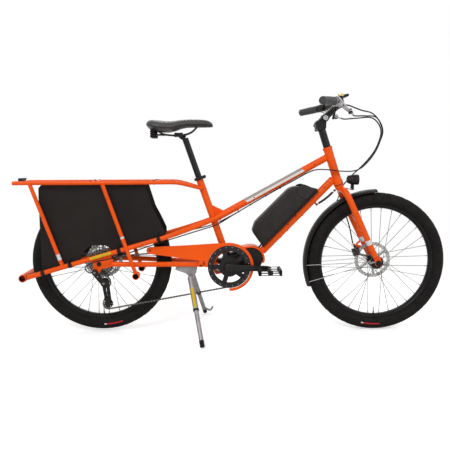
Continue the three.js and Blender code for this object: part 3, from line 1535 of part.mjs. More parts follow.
// Battery on the down tube's rail, its edges rounded and its near side recessed for the hand
const batteryOutline = BATTERY_OUTLINE_SHARES.map(([length, height]) => [
  BATTERY_START + BATTERY_LENGTH * length,
  BATTERY_BASE + BATTERY_DEEP * height,
]);
const batteryRing = (y, inset) => {
  const middle = [BATTERY_START + BATTERY_LENGTH / 2, BATTERY_BASE + BATTERY_DEEP / 2];
  const shrink = [1 - (2 * inset) / BATTERY_LENGTH, 1 - (2 * inset) / BATTERY_DEEP];
  return batteryOutline.map(([length, height]) =>
    onDown(
      middle[0] + (length - middle[0]) * shrink[0],
      middle[1] + (height - middle[1]) * shrink[1],
    ).setY(y),
  );
};
const batteryBody = loft([
  batteryRing(-BATTERY_HALF, BATTERY_ROUND),
  batteryRing(-BATTERY_HALF + BATTERY_ROUND / 3, BATTERY_ROUND / 3),
  batteryRing(-BATTERY_HALF + BATTERY_ROUND, 0),
  batteryRing(BATTERY_HALF - BATTERY_ROUND, 0),
  batteryRing(BATTERY_HALF - BATTERY_ROUND / 3, BATTERY_ROUND / 3),
  batteryRing(BATTERY_HALF, BATTERY_ROUND),
]);
add("battery", cut(batteryBody, batteryRail(GAP)), BLACK);

// Saddle: a cushion lofted from tail to nose, and the post that carries it on two rails
function saddle(grow) {
  const length = SADDLE_NOSE_X - SADDLE_REAR_X;
  const rings = SADDLE_RING_SHARES.map(([place, wide, top, base]) => {
    const x = SADDLE_REAR_X + length * place;
    const half = (SADDLE_WIDTH / 2) * wide + grow;
    const high = SADDLE_TOP_Z - SADDLE_DEEP * (1 - top) + grow;
    const low = SADDLE_TOP_Z - SADDLE_DEEP * (1 - base) - grow;
    return Array.from({ length: EDGE_SIDES }, (_, i) => {
      const t = (2 * Math.PI * i) / EDGE_SIDES;
      const [c, s] = [Math.cos(t), Math.sin(t)];
      const across = Math.sign(c) * Math.abs(c) ** 0.7 * half;
      const up = s >= 0 ? s ** 0.8 : -(Math.abs(s) ** 0.5) * SADDLE_SKIRT_SHARE;
      const edge = low + (high - low) * SADDLE_EDGE_SHARE;
      const rise = s >= 0 ? (high - edge) * up : ((edge - low) * up) / SADDLE_SKIRT_SHARE;
      const tuck = s < 0 ? 1 + up * 0.35 : 1;
      return at(x, across * tuck, edge + rise);
    });
  });
  return loft(rings);
}
add("saddle", saddle(0), RUBBER);
const postTop = onSeat(-POST_ABOVE);
const railTrack = (side) => [
  at(SADDLE_REAR_X + SADDLE_DEEP, side * SADDLE_RAIL_HALF, SADDLE_RAIL_Z + SHELL_THICK),
  at(SADDLE_REAR_X + SADDLE_DEEP * 1.5, side * SADDLE_RAIL_HALF, SADDLE_RAIL_Z),
  at(SADDLE_NOSE_X - SADDLE_DEEP * 1.6, side * SADDLE_RAIL_HALF, SADDLE_RAIL_Z),
  at(SADDLE_NOSE_X - SADDLE_DEEP / 2, (side * SADDLE_RAIL_HALF) / 2, SADDLE_RAIL_Z + SADDLE_DEEP / 2),
];
const clampMiddle = at(postTop.x - POST_RADIUS * 2, 0, SADDLE_RAIL_Z);
const springs = [-1, 1].map((side) =>
  rod(
    at(SADDLE_REAR_X + SADDLE_DEEP / 2, side * SADDLE_SPRING_HALF, SADDLE_RAIL_Z - SADDLE_SPRING_RADIUS),
    at(SADDLE_REAR_X + SADDLE_DEEP / 2, side * SADDLE_SPRING_HALF, SADDLE_TOP_Z - SADDLE_DEEP * 0.6),
    SADDLE_SPRING_RADIUS,
  ),
);
const springPlate = block(
  at(SADDLE_REAR_X + SADDLE_DEEP * 0.9, 0, SADDLE_RAIL_Z),
  SADDLE_DEEP,
  SADDLE_RAIL_HALF * 3,
  SADDLE_RAIL_RADIUS * 2,
);
add(
  "seatpost",
  cut(
    join(
      rod(postTop, onSeat(POST_INSERT), POST_RADIUS, FINE_SIDES),
      rod(postTop, along(postTop, clampMiddle, 1), POST_RADIUS * 0.9),
      block(clampMiddle, POST_RADIUS * 3, SADDLE_RAIL_HALF * 2 + SHELL_THICK, POST_RADIUS * 1.6),
      ...[-1, 1].map((side) => sweep(railTrack(side), SADDLE_RAIL_RADIUS, BEND_STEPS, THIN_SIDES)),
      springPlate,
      ...springs,
    ),
    saddle(GAP),
  ),
  BLACK,
);

// Cassette: the small sprocket in the chain's plane, larger ones stepped behind it
const cogFace = CHAIN_Y + CHAIN_HALF + GAP;
const cogEdge = COG_PITCH - CHAIN_LINK_HALF - GAP;
const steps = CASSETTE_RADII_SHARES.length;
const cassetteProfile = [
  [CASSETTE_BORE, CHAIN_Y - CHAIN_HALF - RUNNING],
  [cogEdge, CHAIN_Y - CHAIN_HALF - RUNNING],
  [cogEdge, cogFace],
];
CASSETTE_RADII_SHARES.toReversed().forEach((share, i) => {
  const pitch = (CASSETTE_INNER_Y - cogFace) / steps;
  cassetteProfile.push([CASSETTE_RADIUS * share, cogFace + pitch * i]);
  cassetteProfile.push([CASSETTE_RADIUS * share, cogFace + pitch * (i + 1 / 2)]);
});
cassetteProfile.push([CASSETTE_RADIUS, CASSETTE_INNER_Y], [CASSETTE_BORE, CASSETTE_INNER_Y]);
const cassette = add("cassette", turned(cassetteProfile, HUB_STEPS), STEEL);
cassette.position.set(REAR_X, 0, REAR_Z);

// Chain: one closed belt round ring, tension pulley, guide pulley and sprocket
const chainWheels = [
  { x: BB_X, z: BB_Z, r: RING_PITCH, sense: -1 },
  { x: TENSION_X, z: TENSION_Z, r: PULLEY_PITCH, sense: -1 },
  { x: GUIDE_X, z: GUIDE_Z, r: PULLEY_PITCH, sense: 1 },
  { x: REAR_X, z: REAR_Z, r: COG_PITCH, sense: -1 },
];
function chainLine(offset) {
  const wheels = chainWheels.map((w) => ({ ...w, r: w.r - w.sense * offset }));
  const count = wheels.length;
  const travel = wheels.map((w, i) => {
    const next = wheels[(i + 1) % count];
    const [dx, dz] = [next.x - w.x, next.z - w.z];
    const swing = (next.sense * next.r - w.sense * w.r) / Math.hypot(dx, dz);
    return Math.atan2(dz, dx) - Math.asin(swing);
  });
  return wheels.flatMap((w, i) => {
    const from = travel[(i + count - 1) % count];
    const full = 2 * Math.PI;
    const left = (((travel[i] - from) % full) + full) % full;
    const bend = w.sense > 0 ? left : left - full;
    const arcSteps = Math.ceil(Math.abs(bend) / CHAIN_ARC);
    return Array.from({ length: arcSteps + 1 }, (_, k) => {
      const t = from + (bend * k) / arcSteps;
      return [w.x + w.sense * w.r * Math.sin(t), w.z - w.sense * w.r * Math.cos(t)];
    });
  });
}
add(
  "chain",
  plate(chainLine(CHAIN_LINK_HALF), CHAIN_Y - CHAIN_HALF, CHAIN_Y + CHAIN_HALF, [
    chainLine(-CHAIN_LINK_HALF),
  ]),
  STEEL,
);

// Cranks: the near one carries ring, arms and spindle, each has its pedal pin
const crankWay = (side) => at(-side * Math.cos(CRANK_DROP), 0, side * Math.sin(CRANK_DROP));
const pedalAt = (side) => at(BB_X, 0, BB_Z).addScaledVector(crankWay(side), CRANK_LENGTH);
const crankOuter = CRANK_INNER + CRANK_THICK;
const pinEnd = crankOuter + GAP * 10 + PEDAL_WIDTH;
function crankArm(side) {
  const eye = pedalAt(side);
  const outline = capsule([BB_X, BB_Z], CRANK_HUB_RADIUS, [eye.x, eye.z], CRANK_EYE_RADIUS, EDGE_SIDES);
  const [from, to] = side < 0 ? [-crankOuter, -CRANK_INNER] : [CRANK_INNER, crankOuter];
  const [pinFrom, pinTo] = side < 0 ? [-pinEnd, -CRANK_INNER] : [CRANK_INNER, pinEnd];
  return join(plate(outline, from, to), disc(eye.x, eye.z, PEDAL_PIN, pinFrom, pinTo, BORE_SIDES));
}
const ringOuter = RING_PITCH - CHAIN_LINK_HALF - RUNNING;
const ringNear = CHAIN_Y - RING_THICK / 2;
const ringFar = CHAIN_Y + RING_THICK / 2;
const ringBand = plate(circle(BB_X, BB_Z, ringOuter, RING_STEPS), ringNear, ringFar, [
  circle(BB_X, BB_Z, ringOuter - RING_BAND),
]);
const ringArms = Array.from({ length: RING_ARMS }, (_, i) => {
  const t = (2 * Math.PI * i) / RING_ARMS;
  const reach = ringOuter - RING_BAND / 2;
  return bar(
    at(BB_X, ringFar - RING_THICK, BB_Z),
    at(BB_X + reach * Math.cos(t), ringFar - RING_THICK, BB_Z + reach * Math.sin(t)),
    RING_ARM_WIDTH,
    RING_THICK * 2,
  );
});
add(
  "crank_right",
  join(
    ringBand,
    ...ringArms,
    disc(BB_X, BB_Z, RING_HUB_RADIUS, ringNear - RING_THICK, ringFar),
    disc(BB_X, BB_Z, CRANK_HUB_RADIUS, -CRANK_INNER - RUNNING, ringFar, SIDES),
    disc(BB_X, BB_Z, SPINDLE_RADIUS, ringNear, crankOuter),
    crankArm(-1),
  ),
  BLACK,
);
add(
  "crank_left",
  cut(
    crankArm(1),
    disc(BB_X, BB_Z, SPINDLE_RADIUS + GAP, CRANK_INNER - OVERRUN, crankOuter + OVERRUN),
  ),
  BLACK,
);
function pedal(side) {
  const eye = pedalAt(side);
  const near = crankOuter + GAP * 10;
  const [from, to] = side < 0 ? [-near - PEDAL_WIDTH, -near] : [near, near + PEDAL_WIDTH];
  const middle = (from + to) / 2;
  const body = block(at(eye.x, middle, eye.z), PEDAL_LENGTH, PEDAL_WIDTH, PEDAL_HEIGHT * 0.7);
  const treads = [-1, 1].map((end) =>
    block(
      at(eye.x + (end * (PEDAL_LENGTH - PEDAL_BAR)) / 2, middle, eye.z),
      PEDAL_BAR,
      PEDAL_WIDTH,
      PEDAL_HEIGHT,
    ),
  );
  const windows = [-1, 1].map((end) =>
    block(
      at(eye.x + (end * (PEDAL_LENGTH - PEDAL_BAR)) / 4, middle, eye.z),
      PEDAL_LENGTH / 2 - PEDAL_BAR * 2.5,
      PEDAL_WIDTH - PEDAL_BAR * 2,
      PEDAL_HEIGHT * 2,
    ),
  );
  return cut(
    join(cut(join(body, ...treads), ...windows)),
    disc(eye.x, eye.z, boreOf(PEDAL_PIN, BORE_SIDES), from - OVERRUN, to + OVERRUN, BORE_SIDES),
  );
}
add("pedal_right", pedal(-1), BLACK);
add("pedal_left", pedal(1), BLACK);

// Chain guard: a plate over the chain with a hoop round the ring, on a tab at the chainstay
const guardNear = RING_GUARD_Y - RING_GUARD_THICK;
const hoop = disc(BB_X, BB_Z, RING_GUARD_OUTER, guardNear, RING_GUARD_Y, RING_STEPS);
const guardPlate = plate(
  capsule(
    [BB_X - RING_GUARD_OUTER / 2, BB_Z + RING_GUARD_OUTER * 0.6],
    RING_GUARD_ROOT_HALF,
    [RING_GUARD_TIP_X + RING_GUARD_TIP_HALF, RING_GUARD_TIP_Z],
    RING_GUARD_TIP_HALF,
    EDGE_SIDES,
  ),
  guardNear,
  RING_GUARD_Y,
);
const hoopOpen = plate(
  [
    [BB_X - RING_GUARD_OUTER * 2, BB_Z],
    [BB_X - RING_GUARD_INNER, BB_Z],
    [BB_X, BB_Z],
    [BB_X, BB_Z - RING_GUARD_OUTER * 2],
    [BB_X - RING_GUARD_OUTER * 2, BB_Z - RING_GUARD_OUTER * 2],
  ],
  guardNear - OVERRUN,
  RING_GUARD_Y + OVERRUN,
);
const tabFoot = along(stayFront, stayRear, (RING_GUARD_TAB_X - stayFront.x) / (stayRear.x - stayFront.x));
const guardTab = bar(
  at(tabFoot.x, RING_GUARD_Y - RING_GUARD_THICK / 2, tabFoot.z - RING_GUARD_TAB_HALF),
  at(tabFoot.x, RING_GUARD_Y - RING_GUARD_THICK / 2, BB_Z + RING_GUARD_OUTER * 0.6),
  RING_GUARD_TAB_HALF * 2,
  RING_GUARD_THICK,
);
const guardBoss = disc(
  tabFoot.x,
  tabFoot.z,
  RING_GUARD_TAB_HALF * 0.7,
  RING_GUARD_Y - RING_GUARD_THICK / 2,
  -STAY_FRONT_HALF,
  SIDES,
);
add(
  "chain_guard",
  cut(
    join(
      cut(
        join(hoop, guardPlate),
        disc(BB_X, BB_Z, RING_GUARD_INNER, guardNear * 2, 0, RING_STEPS),
        hoopOpen,
      ),
      guardTab,
      guardBoss,
    ),
    staySpace,
  ),
  ORANGE,
);

// Derailleur on its hanger, the cage with its guide pulley, and the tension pulley
const cageNear = CHAIN_Y - CHAIN_LINK_HALF * 3;
const cageFar = CHAIN_Y + CHAIN_LINK_HALF * 3;
const pulleyEdge = PULLEY_PITCH - CHAIN_LINK_HALF - GAP;
const cagePlate = (from) =>
  plate(
    capsule([GUIDE_X, GUIDE_Z], CAGE_ROUND, [TENSION_X, TENSION_Z], CAGE_ROUND * 0.8, EDGE_SIDES),
    from,
    from + CAGE_THICK,
  );
const cagePin = (x, z) => disc(x, z, CAGE_PIN, cageNear, cageFar, SIDES);
add(
  "derailleur_cage",
  join(
    cagePlate(cageNear - CAGE_THICK + RUNNING),
    cagePlate(cageFar - RUNNING),
    cagePin(GUIDE_X, GUIDE_Z),
    cagePin(TENSION_X, TENSION_Z),
    disc(GUIDE_X, GUIDE_Z, pulleyEdge, CHAIN_Y - RING_THICK / 2, CHAIN_Y + RING_THICK / 2, ROUND_SIDES),
  ),
  DARK_METAL,
);
add(
  "pulley_lower",
  plate(
    circle(TENSION_X, TENSION_Z, pulleyEdge, ROUND_SIDES),
    CHAIN_Y - RING_THICK / 2,
    CHAIN_Y + RING_THICK / 2,
    [circle(TENSION_X, TENSION_Z, boreOf(CAGE_PIN, SIDES), SIDES)],
  ),
  BLACK,
);
const cageFace = cageNear - CAGE_THICK + RUNNING - GAP;
const hangerFace = -dropOuter - GAP;
add(
  "derailleur",
  join(
    disc(HANGER_X, HANGER_Z, KNUCKLE_RADIUS, -DERAILLEUR_OUT, hangerFace, EDGE_SIDES),
    disc(GUIDE_X, GUIDE_Z, KNUCKLE_RADIUS, -DERAILLEUR_OUT, cageFace, EDGE_SIDES),
    bar(
      at(HANGER_X, -DERAILLEUR_OUT + CAGE_THICK * 2, HANGER_Z),
      at(GUIDE_X, -DERAILLEUR_OUT + CAGE_THICK * 2, GUIDE_Z),
      KNUCKLE_RADIUS * 1.6,
      CAGE_THICK * 4,
    ),
  ),
  DARK_METAL,
);

// Rear brake caliper on the far chainstay
const rearCalX = REAR_X + ROTOR_RADIUS * Math.cos(REAR_CALIPER_LEAN);
const rearCalZ = REAR_Z + ROTOR_RADIUS * Math.sin(REAR_CALIPER_LEAN);
const axleRear = at(REAR_X, 0, REAR_Z);
add(
  "rear_caliper",
  cut(
    join(
      caliper(rearCalX, rearCalZ, REAR_ROTOR_Y, axleRear, REAR_CALIPER_LEAN),
      bar(
        at(rearCalX + CALIPER_GRIP, REAR_ROTOR_Y + CALIPER_GRIP, rearCalZ),
        at(rearCalX + CALIPER_GRIP * 2, STAY_HALF, rearCalZ),
        CALIPER_GRIP * 2,
        STAY_HALF - REAR_ROTOR_Y,
      ),
      bar(
        at(rearCalX + CALIPER_GRIP * 2, STAY_HALF, rearCalZ),
        at(rearCalX + CALIPER_GRIP * 2, STAY_HALF, REAR_Z),
        CALIPER_GRIP * 2,
        CALIPER_GRIP,
      ),
      bar(
        at(rearCalX, REAR_ROTOR_Y + CALIPER_GRIP, rearCalZ),
        at(rearCalX + CALIPER_GRIP * 2, REAR_ROTOR_Y + CALIPER_GRIP, rearCalZ + CALIPER_GRIP * 5),
        CALIPER_GRIP,
        CALIPER_GRIP,
      ),
    ),
    staySpace,
    railSpace,
    disc(
      REAR_X,
      REAR_Z,
      ROTOR_RADIUS + RUNNING * 2,
      REAR_ROTOR_Y - RUNNING * 2,
      REAR_ROTOR_Y + RUNNING * 2,
      RING_STEPS,
    ),
  ),
  DARK_METAL,
);

// Centre stand: a bracket under the stays and two spread legs on one axle
const standBore = disc(
  STAND_PIVOT_X,
  STAND_PIVOT_Z,
  STAND_AXLE_RADIUS + GAP,
  -STAND_BRACKET_HALF * 2,
  STAND_BRACKET_HALF * 2,
  EDGE_SIDES,
);
add(
  "stand_bracket",
  cut(
    join(
      plate(
        [
          [STAND_BRACKET_REAR_X, STAND_BRACKET_Z + STAND_BOSS_RADIUS],
          [STAND_BRACKET_REAR_X, BB_Z + STAY_FRONT_ABOVE],
          [STAND_BRACKET_FRONT_X, BB_Z + STAY_FRONT_ABOVE],
          [STAND_BRACKET_FRONT_X, STAND_BRACKET_Z],
          [STAND_PIVOT_X, STAND_PIVOT_Z],
        ],
        -STAND_BRACKET_HALF,
        STAND_BRACKET_HALF,
      ),
      disc(
        STAND_PIVOT_X,
        STAND_PIVOT_Z,
        STAND_BOSS_RADIUS,
        -STAND_BRACKET_HALF,
        STAND_BRACKET_HALF,
        ROUND_SIDES,
      ),
    ),
    standBore,
    staySpace,
  ),
  CAST,
);
const legTop = (side) => at(STAND_PIVOT_X, side * STAND_TOP_HALF, STAND_PIVOT_Z);
const legFoot = (side) => at(STAND_FOOT_X, side * STAND_FOOT_HALF, STAND_INNER_RADIUS / 2);
const onLeg = (side, share) => along(legTop(side), legFoot(side), share);
const legHub = (side) => {
  const inner = STAND_BRACKET_HALF + GAP;
  const outer = STAND_TOP_HALF + STAND_INNER_RADIUS / 2;
  const [from, to] = side < 0 ? [-outer, -inner] : [inner, outer];
  return disc(STAND_PIVOT_X, STAND_PIVOT_Z, STAND_BOSS_RADIUS, from, to, ROUND_SIDES);
};
const legs = [-1, 1].flatMap((side) => [
  legHub(side),
  rod(onLeg(side, 0), onLeg(side, 1 / 2), STAND_LEG_RADIUS),
  rod(onLeg(side, 0.49), onLeg(side, 1), STAND_INNER_RADIUS),
]);
const tang = sweep(
  [
    onLeg(1, 0.86),
    legFoot(1).add(at(STAND_LEG_RADIUS * 2, 0, STAND_LEG_RADIUS)),
    legFoot(1).add(at(STAND_LEG_RADIUS * 3, 0, STAND_LEG_RADIUS * 2.5)),
  ],
  STAND_INNER_RADIUS / 2,
  SHORT_STEPS,
  FEW_SIDES,
);
const belowGround = block(
  at(STAND_FOOT_X, 0, -STAND_LEG_RADIUS * 2),
  STAND_FOOT_HALF,
  STAND_FOOT_HALF * 3,
  STAND_LEG_RADIUS * 4,
);
add(
  "stand_legs",
  cut(
    join(
      disc(
        STAND_PIVOT_X,
        STAND_PIVOT_Z,
        STAND_AXLE_RADIUS,
        -STAND_TOP_HALF,
        STAND_TOP_HALF,
        EDGE_SIDES,
      ),
      ...legs,
      tang,
    ),
    belowGround,
  ),
  CAST,
);

// Steering damper between the down tube's lug and the fork crown
const crownRear = onHead(HEAD_LENGTH + CROWN_ARCH_DROP + RACE_HEIGHT).addScaledVector(
  headAhead,
  -HEAD_RADIUS - DAMPER_RADIUS,
);
const damperStart = damperSeat.clone().addScaledVector(downUp, -DAMPER_RADIUS * 2 - GAP);
add(
  "steering_damper",
  cut(
    sweep(
      [damperStart, along(damperStart, crownRear, 1 / 2).add(at(0, 0, -DAMPER_RADIUS)), crownRear],
      DAMPER_RADIUS,
      SHORT_STEPS,
      SIDES,
    ),
    join(fork(GAP), headSpace),
  ),
  DARK_METAL,
);

// Cables, each whole along its held route
const frontCable = [
  onBarrel(1, BARREL_LENGTH + GAP),
  onBarrel(1, BARREL_LENGTH + LEVER_WIDTH),
  at(530, 62, 947),
  at(600, 38, 928),
  at(636, 22, 896),
  at(622, 18, 845),
  at(585, 22, 785),
  at(545, 34, 730),
  at(500, 58, 680),
  at(470, 77, 625),
  at(486, 79, 545),
  at(513, 79, 460),
  at(522, 70, 412),
  at(calX - CALIPER_GRIP * 2, BLADE_HALF_LOW - BLADE_RADIUS / 2, calZ + CALIPER_GRIP * 5.6),
];
const cable = (points) => sweep(points, CABLE_RADIUS, CABLE_STEPS, FEW_SIDES);
add("brake_cable_front", cable(frontCable), PLASTIC);
const shared = [
  at(595, -30, 930),
  at(630, -8, 898),
  at(618, -4, 845),
  at(584, -10, 785),
  at(545, -18, 735),
  at(500, -26, 716),
  at(440, -31, 716),
  at(385, -27, 722),
  at(330, -10, 718),
  at(240, 0, 670),
  at(100, 0, 593.5),
  at(-20, 0, 528),
];
const rearBrakeCable = [
  onBarrel(-1, BARREL_LENGTH + GAP),
  onBarrel(-1, BARREL_LENGTH + LEVER_WIDTH),
  at(535, -62, 945),
  ...shared,
  at(-60, 17, 505),
  at(-100, 27, 484),
  at(-150, 36, 468),
  at(-210, 54, 452),
  at(-300, 72, 428),
  at(-400, 76, 396),
  at(-490, 72, 371),
  at(rearCalX + CALIPER_GRIP * 2, REAR_ROTOR_Y + CALIPER_GRIP, rearCalZ + CALIPER_GRIP * 5.6),
];
const shiftCable = [
  shiftStart.clone().add(at(POD_RADIUS / 2 + GAP, 0, 0)),
  shiftStart.clone().add(at(POD_RADIUS / 2 + LEVER_WIDTH, 0, 0)),
  at(500, -130, 968),
  at(560, -78, 952),
  ...shared.map((p) => p.clone().add(at(0, -CABLE_RADIUS * 2 - GAP, 0))),
  at(-60, -20, 505),
  at(-100, -29, 483),
  at(-150, -38, 468),
  at(-210, -56, 452),
  at(-300, -74, 426),
  at(-400, -76, 395),
  at(-500, -78, 362),
  at(-560, -97, 346),
  at(-630, -100, 332),
  at(-668, -94, 306),
  at(HANGER_X - KNUCKLE_RADIUS * 2, -DERAILLEUR_OUT + CAGE_THICK * 2, HANGER_Z),
  at(HANGER_X - KNUCKLE_RADIUS - GAP, -DERAILLEUR_OUT + CAGE_THICK * 2, HANGER_Z),
];
const clips = [9].map((i) =>
  block(
    shared[i].clone().add(at(0, -CABLE_RADIUS - GAP / 2, 0)),
    CLIP_LENGTH,
    CABLE_RADIUS * 5,
    CABLE_RADIUS * 3,
  ),
);
add("cables_rear", join(cable(rearBrakeCable), cable(shiftCable), ...clips), PLASTIC);

export default bike;
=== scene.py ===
"""Looks of the longtail cargo bicycle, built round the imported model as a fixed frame."""

from functools import cache
from math import acos, asin, atan2, ceil, cos, exp, hypot, pi, sin, sqrt

import bmesh
import bpy
import numpy as np
from mathutils import Matrix
from numpy import cross, linspace
from numpy.linalg import norm


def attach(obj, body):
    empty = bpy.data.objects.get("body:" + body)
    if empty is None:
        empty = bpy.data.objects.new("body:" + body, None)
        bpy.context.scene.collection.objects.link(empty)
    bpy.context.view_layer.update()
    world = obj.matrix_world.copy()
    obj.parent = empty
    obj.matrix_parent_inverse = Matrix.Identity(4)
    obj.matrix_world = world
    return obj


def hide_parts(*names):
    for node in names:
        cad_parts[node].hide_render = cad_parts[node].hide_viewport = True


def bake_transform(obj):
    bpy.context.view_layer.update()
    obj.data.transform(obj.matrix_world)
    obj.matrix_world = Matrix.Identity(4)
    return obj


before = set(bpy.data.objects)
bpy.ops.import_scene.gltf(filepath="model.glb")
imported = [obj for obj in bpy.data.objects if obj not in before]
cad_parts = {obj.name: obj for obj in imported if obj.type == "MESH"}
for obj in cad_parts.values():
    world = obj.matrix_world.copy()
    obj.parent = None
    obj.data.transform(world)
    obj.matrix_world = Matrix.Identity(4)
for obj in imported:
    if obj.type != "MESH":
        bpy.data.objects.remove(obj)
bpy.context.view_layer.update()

DEG = pi / 180
TURN = 2 * pi
SHIFT = 21.0  # from the bicycle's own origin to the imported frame's, along X
AXIS = 0.01  # radius that stands for the axis itself in a turned profile
SIDES = {-1: "right", 1: "left"}
PLASTIC, METAL = "black_plastic", "black_metal"


# Points and shapes are in millimetres of the bicycle's own axes, as in the part's source.
def P(x, y, z):
    return np.array([x, y, z], float)


def unit(v):
    return v / norm(v)


def mix(a, b, t):
    return a + (b - a) * t


def polar(radius, t, y=0):
    return P(radius * cos(t), y, radius * sin(t))


def arc(x, z, radius, first, last, count):
    """Points of the XZ plane on an arc."""
    return [(x + radius * cos(t), z + radius * sin(t)) for t in linspace(first, last, count)]


def circle(x, z, radius, steps=48):
    return arc(x, z, radius, 0, TURN, steps + 1)[:-1]


def span(side, near, far):
    """Both y of a plate that lies between near and far on that side."""
    return sorted((side * near, side * far))


def flat(points):
    return [(p[0], p[2]) for p in points]


X, Y, Z = P(1, 0, 0), P(0, 1, 0), P(0, 0, 1)
skins = []


def add(points, faces, finish):
    """One more skin for the piece being made, each face with the name of its finish."""
    names = finish if isinstance(finish, list) else [finish] * len(faces)
    skins.append((np.reshape(points, (-1, 3)), faces, names))


def grid(rows, count, around=True, ends=True, closed=False):
    """Faces over rows of count points; closed joins the last row to the first."""
    faces = []
    for i in range(rows if closed else rows - 1):
        k = (i + 1) % rows
        for j in range(count if around else count - 1):
            n = (j + 1) % count
            faces.append([i * count + j, i * count + n, k * count + n, k * count + j])
    if ends and not closed:
        faces.append(list(range(count))[::-1])
        faces.append([(rows - 1) * count + j for j in range(count)])
    return faces


def loft(rings, finish, closed=False):
    add(rings, grid(len(rings), len(rings[0]), closed=closed), finish)


def curve(points, per=8):
    """Centripetal smooth curve through points, as the part's source sweeps them."""
    p = [np.asarray(q, float) for q in points]
    p = [2 * p[0] - p[1], *p, 2 * p[-1] - p[-2]]
    out = []
    for i in range(1, len(p) - 2):
        a, b, c, d = p[i - 1 : i + 3]
        t = [0.0]
        for u, v in ((a, b), (b, c), (c, d)):
            t.append(t[-1] + max(norm(v - u), 1e-6) ** 0.5)
        for s in mix(t[1], t[2], np.arange(per) / per):
            l1 = mix(a, b, (s - t[0]) / (t[1] - t[0]))
            l2 = mix(b, c, (s - t[1]) / (t[2] - t[1]))
            l3 = mix(c, d, (s - t[2]) / (t[3] - t[2]))
            m1 = mix(l1, l2, (s - t[0]) / (t[2] - t[0]))
            m2 = mix(l2, l3, (s - t[1]) / (t[3] - t[1]))
            out.append(mix(m1, m2, (s - t[1]) / (t[2] - t[1])))
    return np.array([*out, p[-2]])


def across(way):
    """Two unit vectors square to way and to each other."""
    u = unit(cross(way, Y if abs(way[1]) < 0.9 else X))
    return u, cross(way, u)


def oval(centre, u, wide, w, high, power=1, count=32):
    """A ring round centre, wide along u and high along w; power below 1 squares it."""
    ring = []
    for t in linspace(0, TURN, count, endpoint=False):
        c, q = cos(t), sin(t)
        if power < 1:
            c, q = np.sign(c) * abs(c) ** power, np.sign(q) * abs(q) ** power
        ring.append(centre + u * wide * c + w * high * q)
    return ring


def tube(path, radius, finish, sides, edge=None, loop=False):
    """A round tube along a path, its ends chamfered by edge."""
    path = np.asarray(path, float)
    radius = np.broadcast_to(np.asarray(radius, float), (len(path),))
    step = np.roll(path, -1, 0) - np.roll(path, 1, 0)
    if not loop:
        e = min(radius[0], radius[-1]) * 0.18 if edge is None else edge
        if e > 0:
            a, b = unit(path[1] - path[0]) * e, unit(path[-1] - path[-2]) * e
            path = np.vstack([path[0], path[0] + a, path[1:-1], path[-1] - b, path[-1]])
            radius = [radius[0] - e, radius[0], *radius[1:-1], radius[-1], radius[-1] - e]
        step = np.gradient(path, axis=0)
    step /= norm(step, axis=1)[:, None]
    side = cross(step[0], Z if abs(step[0][2]) < 0.9 else X)
    rings = []
    for p, t, r in zip(path, step, radius):
        side = unit(side - t * np.dot(side, t))
        rings.append(oval(p, side, r, cross(t, side), r, count=sides))
    loft(rings, finish, loop)


def rod(a, b, radius, finish, end=None, sides=24, edge=None):
    tube([a, b], [radius, radius if end is None else end], finish, sides, edge)


def turn(profile, centre, finish, axis=Y, steps=48, closed=False, part=None, dent=None):
    """A profile of (radius, along) turned about an axis; about Y the angle runs from +X to +Z.

    part holds both angles of a part turn; dent gives each step's cut into the profile.
    """
    u, w = (X, Z) if axis is Y else across(axis)
    profile = np.asarray(profile, float)
    rings = []
    for k, t in enumerate(linspace(*(part or (0, TURN)), steps + 1)[: None if part else -1]):
        r = profile[:, 0] - (dent(k) if dent else 0)
        rings.append(centre + r[:, None] * (cos(t) * u + sin(t) * w) + profile[:, 1, None] * axis)
    rows, count = len(rings), len(profile)
    faces = grid(rows, count, closed, bool(part), not part)
    if not closed and not part:
        faces += [[i * count + j for i in range(rows)] for j in (0, count - 1)]
    if callable(finish):  # chosen by step and by point of the profile
        finish = [finish(f[0] // count, f[0] % count) for f in faces]
    add(rings, faces, finish)


def sleeve(profile, centre, finish, axis=Y, steps=48):
    """A closed profile turned all the way round."""
    turn(profile, centre, finish, axis, steps, closed=True)


def cap(profile, centre, finish, axis, steps):
    """A turned profile that starts and ends square on the axis."""
    turn([(AXIS, profile[0][1]), *profile, (AXIS, profile[-1][1])], centre, finish, axis, steps)


def drum(a, b, radius, finish, edge, steps):
    """A disc or barrel from a to b with rounded edges."""
    long = norm(b - a)
    e = min(edge, long / 2.2, radius / 2)
    prof = [(radius - e, 0), (radius - e * 0.3, e * 0.3), (radius, e)]
    prof += [(r, long - d) for r, d in prof[::-1]]
    cap(prof, a, finish, unit(b - a), steps)


def disc(x, z, radius, y0, y1, finish, edge, steps=40):
    drum(P(x, y0, z), P(x, y1, z), radius, finish, edge, steps)


def pin(centre, half, radius, finish, edge=1.0, steps=20):
    """A drum that reaches half to either side of its centre, along Y."""
    drum(centre - Y * half, centre + Y * half, radius, finish, edge, steps)


def capsule(a, ra, b, rb, steps=24):
    """Outline round two circles in the XZ plane."""
    (ax, az), (bx, bz) = a, b
    way = atan2(bz - az, bx - ax)
    lean = acos((ra - rb) / hypot(bx - ax, bz - az))
    first = arc(ax, az, ra, way + lean, way + TURN - lean, steps + 1)
    return first + arc(bx, bz, rb, way - lean, way + lean, steps + 1)


